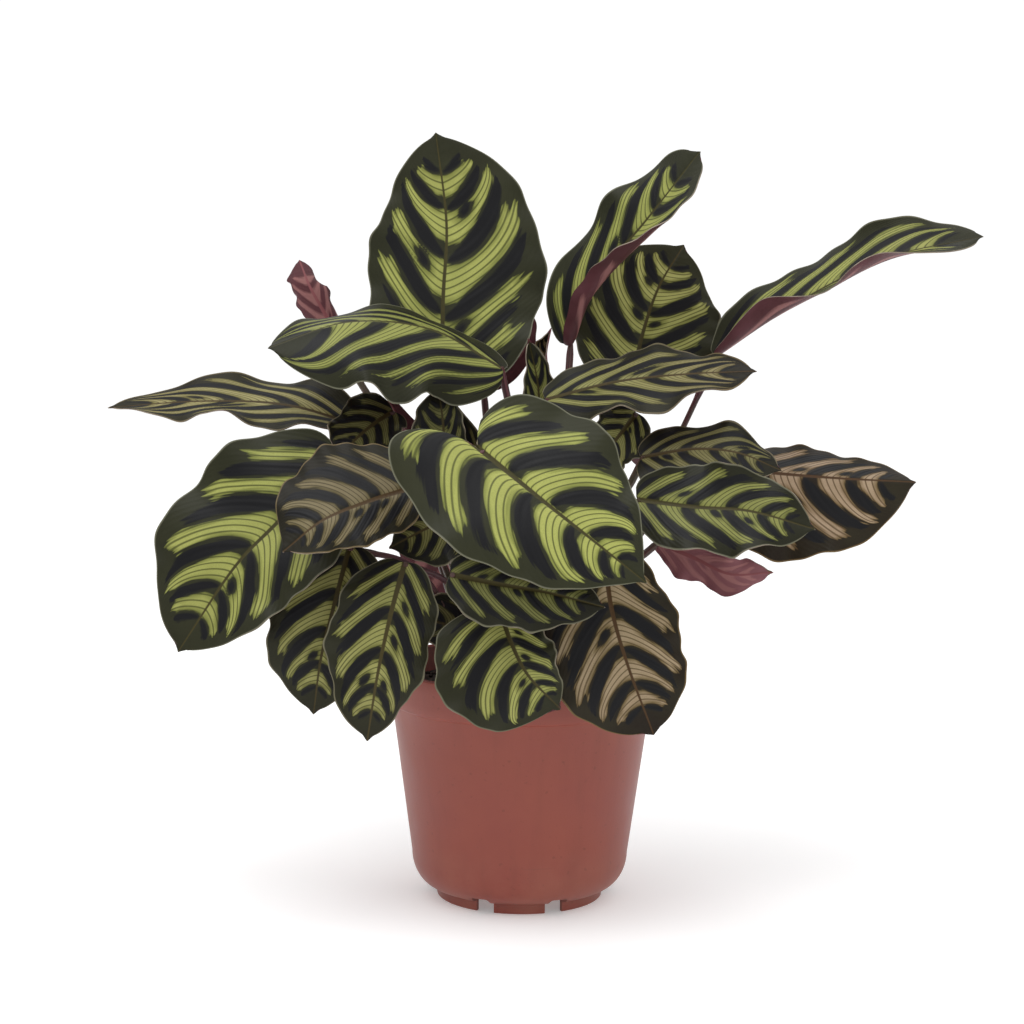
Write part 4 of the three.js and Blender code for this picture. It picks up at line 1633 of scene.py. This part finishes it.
    def build(self, finish: PlasticFinish) -> bpy.types.Object:
        """Model the pot and dress it.

        Args:
            finish: The moulded plastic.

        Returns:
            The finished pot.
        """
        pot, cutter = self.turn(), self.cutter()
        apply_modifier(pot, "BOOLEAN", operation="DIFFERENCE", object=cutter, solver="EXACT")
        bpy.data.objects.remove(cutter)
        pot.data.materials.append(finish.material())
        select_only(pot)
        bpy.ops.object.shade_smooth_by_angle(angle=math.radians(35))
        keep(pot, "pot_plastic", "pot")
        return pot


# ---------------------------------------------------------------- soil


@dataclass(frozen=True)
class SoilFinish:
    """Moist peat with bark: matt, near black, with a few pale fibres."""

    dark: str = "19130f"
    mid: str = "32261d"
    chip: str = "5b4230"
    fibre: str = "7d6146"

    def material(self) -> bpy.types.Material:
        """Make the crumbly soil.

        Returns:
            The material.
        """
        # Peat and bark, crumbled: no shine at all, and a rough broken surface.
        material, tree = new_material("potting_soil_crumbled")
        place = add(tree, "TexCoord").node.outputs["Object"]
        crumb = add(tree, "TexNoise", Vector=place, Scale=260.0, Detail=5.0, Roughness=0.7)
        grit = add(tree, "TexVoronoi", Vector=place, Scale=420.0)
        skin = add(tree, "MixRGB", add(tree, "MapRange", crumb, 0.35, 0.65), self.dark, self.mid)
        skin = add(tree, "MixRGB", add(tree, "MapRange", grit, 0.22, 0.1, 0.0, 0.7), skin, self.chip)
        skin = add(tree, "MixRGB", add(tree, "MapRange", crumb, 0.68, 0.74), skin, self.fibre)
        bump = add(tree, "Bump", Strength=0.9, Distance=0.001, Height=crumb)
        shader = add(tree, "BsdfPrincipled", Base_Color=skin, Roughness=0.93, IOR=1.45, Normal=bump)
        add(tree, "OutputMaterial", shader)
        return material


@dataclass
class PottingSoil:
    """The filled pot's soil: a low crumbled mound with bark chips lying on it.

    Sizes in millimetres.
    """

    pot: NurseryPot
    top: float = field(init=False)
    mound: float = 3
    gap: float = 0.3
    chips: int = 260
    chip_size: tuple[float, float] = (1.2, 4.0)
    seed: int = 11

    def __post_init__(self) -> None:
        """Find where the soil meets the wall, below the solid's mound."""
        self.top = solid_top("soil") - self.mound

    def surface(self, radius: Any) -> Any:
        """Give the mound's height at a distance from the axis."""
        return self.top + self.mound * np.cos(math.pi / 2 * radius / self.pot.wall_radius(self.top))

    def ball(self) -> bpy.types.Object:
        """Draw the root ball: the soil's closed body under its crumbled top.

        Returns:
            The ball without its bark chips.
        """
        inner = self.pot.wall_radius(self.top) - self.pot.wall - self.gap
        rings = 46

        def shape(u: np.ndarray, v: np.ndarray) -> np.ndarray:
            """Give the places of the sheet's points in millimetres."""
            angle = 2 * math.pi * u
            radius = inner * np.clip(v / 0.8, 0, 1)
            floor = self.pot.foot_height + self.pot.wall + self.gap
            down = np.clip((v - 0.8) / 0.2, 0, 1)
            height = self.surface(radius)
            bump = np.array([
                noise.noise(Vector((r * math.cos(a) * 0.22, r * math.sin(a) * 0.22, 0.3)))
                + 0.6 * noise.noise(Vector((r * math.cos(a) * 0.6, r * math.sin(a) * 0.6, 4.1)))
                for r, a in zip(radius, angle)
            ])
            height = height + 0.9 * bump * (down == 0)
            corner = self.pot.foot_height + self.pot.corner_radius
            inset = self.pot.wall + self.gap
            wall = [self.pot.wall_radius(z) - inset for z in (self.top, corner)]
            depth = np.where(down <= 0.8, down / 0.8, 1.0)
            radius = np.where(down > 0, wall[0] + (wall[1] - wall[0]) * depth, radius)
            height = np.where(down > 0, self.top + (corner - self.top) * depth, height)
            last = down > 0.9
            radius = np.where(last, self.pot.foot_radius - self.pot.wall, radius)
            height = np.where(last, floor, height)
            return np.stack([radius * np.cos(angle), radius * np.sin(angle), height], -1)

        ball, _, _ = sheet("soil_mound", 96, rings, shape)
        edit(
            ball,
            ("remove_doubles", {"threshold": 2e-5}),
            ("fill_holes", {"sides": 96}),
            ("normals_make_consistent", {"inside": False}),
        )
        return ball

    def build(self, finish: SoilFinish) -> bpy.types.Object:
        """Model the soil and dress it.

        Args:
            finish: The soil's material.

        Returns:
            The finished soil.
        """
        ball = self.ball()
        draw = np.random.default_rng(self.seed)
        reach = self.pot.wall_radius(self.top) - self.pot.wall - self.gap - self.chip_size[1] / 2 - 1
        pieces = [ball]
        for index in range(self.chips):
            radius = reach * math.sqrt(draw.uniform())
            angle = draw.uniform(0, 2 * math.pi)
            size = draw.uniform(*self.chip_size)
            height = float(self.surface(radius)) + 0.25 * size * draw.uniform(0.2, 1.0)
            bpy.ops.object.select_all(action="DESELECT")
            bpy.ops.mesh.primitive_ico_sphere_add(
                subdivisions=1, radius=0.5 * MM,
                location=(radius * MM * math.cos(angle), radius * MM * math.sin(angle), height * MM),
                rotation=tuple(draw.uniform(-0.6, 0.6, 2)) + (draw.uniform(0, 6.28),),
                scale=(size, size * draw.uniform(0.4, 0.8), size * draw.uniform(0.2, 0.5)),
            )
            chip = bpy.context.active_object
            chip.name = f"bark_chip_{index}"
            pieces.append(chip)
        bpy.ops.object.select_all(action="DESELECT")
        for piece in pieces:
            piece.select_set(True)
        bpy.context.view_layer.objects.active = ball
        bpy.ops.object.join()
        bpy.ops.object.transform_apply(location=True, rotation=True, scale=True)
        ball.data.materials.clear()
        ball.data.materials.append(finish.material())
        bpy.ops.object.shade_smooth_by_angle(angle=math.radians(40))
        keep(ball, "potting_soil", "soil")
        return ball


# ---------------------------------------------------------------- studio


@dataclass
class Studio:
    """A pale floor, soft light all round, and the viewer's camera. Millimetres."""

    eye: Triple = (-4.8, -1055.0, 298.0)
    target: Triple = (-4.8, 0.0, 168.0)
    roll: float = 0.01
    lens: float = 86.6
    sensor: float = 36.0
    floor_size: float = 6000.0
    horizon: float = 0.32
    zenith: float = 1.05
    floor_drop: float = 0.2
    floor_glow: float = 0.24
    lamp_aim: float = 160.0

    def floor(self) -> bpy.types.Object:
        """Lay the pale floor, whose far edge meets the white surround.

        Returns:
            The floor, left out of the plant's body.
        """
        bpy.ops.object.select_all(action="DESELECT")
        bpy.ops.mesh.primitive_plane_add(size=self.floor_size * MM, location=(0, 0, -self.floor_drop * MM))
        floor = bpy.context.active_object
        floor.name = "studio_floor"
        bpy.ops.object.transform_apply(location=True, rotation=True, scale=True)
        # Matt paper with a faint glow of its own, so that it reads as white as the surround.
        material, tree = new_material("studio_paper_white")
        shader = add(
            tree, "BsdfPrincipled", Base_Color=linear("f6f6f6"), Roughness=0.9,
            Emission_Color=linear("ffffff"), Emission_Strength=self.floor_glow,
        )
        add(tree, "OutputMaterial", shader)
        floor.data.materials.append(material)
        return floor

    def world(self) -> None:
        """Surround the scene with even white light."""
        world = bpy.data.worlds.new("studio_surround")
        bpy.context.scene.world = world
        world.use_nodes = True
        tree = world.node_tree
        tree.nodes.clear()
        seen = add(tree, "LightPath").node.outputs["Is Camera Ray"]
        up = add(tree, "SeparateXYZ", add(tree, "TexCoord").node.outputs["Generated"]).node.outputs[2]
        soft = add(tree, "MapRange", up, -0.1, 0.9, self.horizon, self.zenith)
        strength = add(tree, "MapRange", seen, 0.0, 1.0, soft, self.zenith)
        add(tree, "OutputWorld", add(tree, "Background", (1.0, 1.0, 1.0, 1.0), strength))

    def lamp(self, name: str, place: Triple, size: float, power: float) -> None:
        """Hang one square soft light, aimed at the middle of the plant.

        Args:
            name: The light's name.
            place: Its middle in millimetres.
            size: Its side in millimetres.
            power: Its power in watts.
        """
        data = bpy.data.lights.new(name, "AREA")
        data.shape = "SQUARE"
        data.size = size * MM
        data.energy = power
        light = bpy.data.objects.new(name, data)
        bpy.context.collection.objects.link(light)
        light.location = Vector(place) * MM
        aim = Vector((0, 0, self.lamp_aim * MM)) - light.location
        light.rotation_euler = aim.to_track_quat("-Z", "Y").to_euler()

    def camera(self) -> None:
        """Set the camera at the viewer's eye."""
        data = bpy.data.cameras.new("viewer")
        data.lens = self.lens
        data.sensor_width = self.sensor
        data.sensor_fit = "HORIZONTAL"
        camera = bpy.data.objects.new("viewer", data)
        bpy.context.collection.objects.link(camera)
        camera.location = Vector(self.eye) * MM
        aim = Vector(self.target) * MM - camera.location
        turn = aim.to_track_quat("-Z", "Y").to_matrix()
        spin = Vector((0, 0, 1))
        camera.rotation_euler = (turn @ rotation_about(spin, self.roll)).to_euler()
        bpy.context.scene.camera = camera

    def build(self) -> None:
        """Set the floor, the surround, the lights and the camera."""
        self.floor()
        self.world()
        self.lamp("overhead_softbox", (-250, -350, 1300), 900, 6.5)
        self.lamp("front_fill", (500, -1200, 700), 900, 1.2)
        self.camera()
        bpy.context.scene.view_settings.view_transform = "Standard"


def rotation_about(axis: Vector, angle: float) -> Matrix:
    """Give the turn about an axis as a matrix."""
    return Matrix.Rotation(angle, 3, axis)


# ---------------------------------------------------------------- plant


@dataclass
class PeacockPlant:
    """The whole plant: pot, soil, and a blade with its stalk for each leaf."""

    pot: NurseryPot = field(default_factory=NurseryPot)

    def build(self) -> None:
        """Build every piece in order and report each."""
        pot = self.pot.build(PlasticFinish())
        report(pot)
        soil = PottingSoil(self.pot)
        report(soil.build(SoilFinish()))
        stalk_skin = StalkFinish().material()
        leaf_skin = LeafFinish()
        skins = (leaf_skin.upper(), leaf_skin.lower(), leaf_skin.margin())
        for blade in (*BLADES, *SHEATHS_AND_SHADOW_SHEET):
            leaf = blade.build(skins)
            if not blade.has_solid:
                keep(leaf, blade.tone.value)
                report(leaf)
                continue
            stalk = Stalk(blade.name, blade.foot, blade.bend, blade.spine[0]).build(
                stalk_skin, float(soil.surface(math.hypot(*blade.foot)))
            )
            if blade.furled:
                bpy.ops.object.select_all(action="DESELECT")
                stalk.select_set(True)
                leaf.select_set(True)
                bpy.context.view_layer.objects.active = leaf
                bpy.ops.object.join()
                keep(leaf, blade.tone.value, "leaf_" + blade.name)
                report(leaf)
                continue
            keep(leaf, blade.tone.value, "leaf_" + blade.name)
            keep(stalk, "leaf_stalk", "stalk_" + blade.name)
            report(leaf)
            report(stalk)


def report(piece: bpy.types.Object) -> None:
    """Log a finished piece with its size."""
    size = [round(side / MM, 1) for side in piece.dimensions]
    LOG.info("%s: %d faces, %s mm", piece.name, len(piece.data.polygons), size)


def main() -> None:
    """Build the plant and the studio."""
    logging.basicConfig(level=logging.INFO, format="%(message)s")
    PeacockPlant().build()
    Studio().build()
    bpy.context.view_layer.update()


if __name__ == "__main__":
    main()
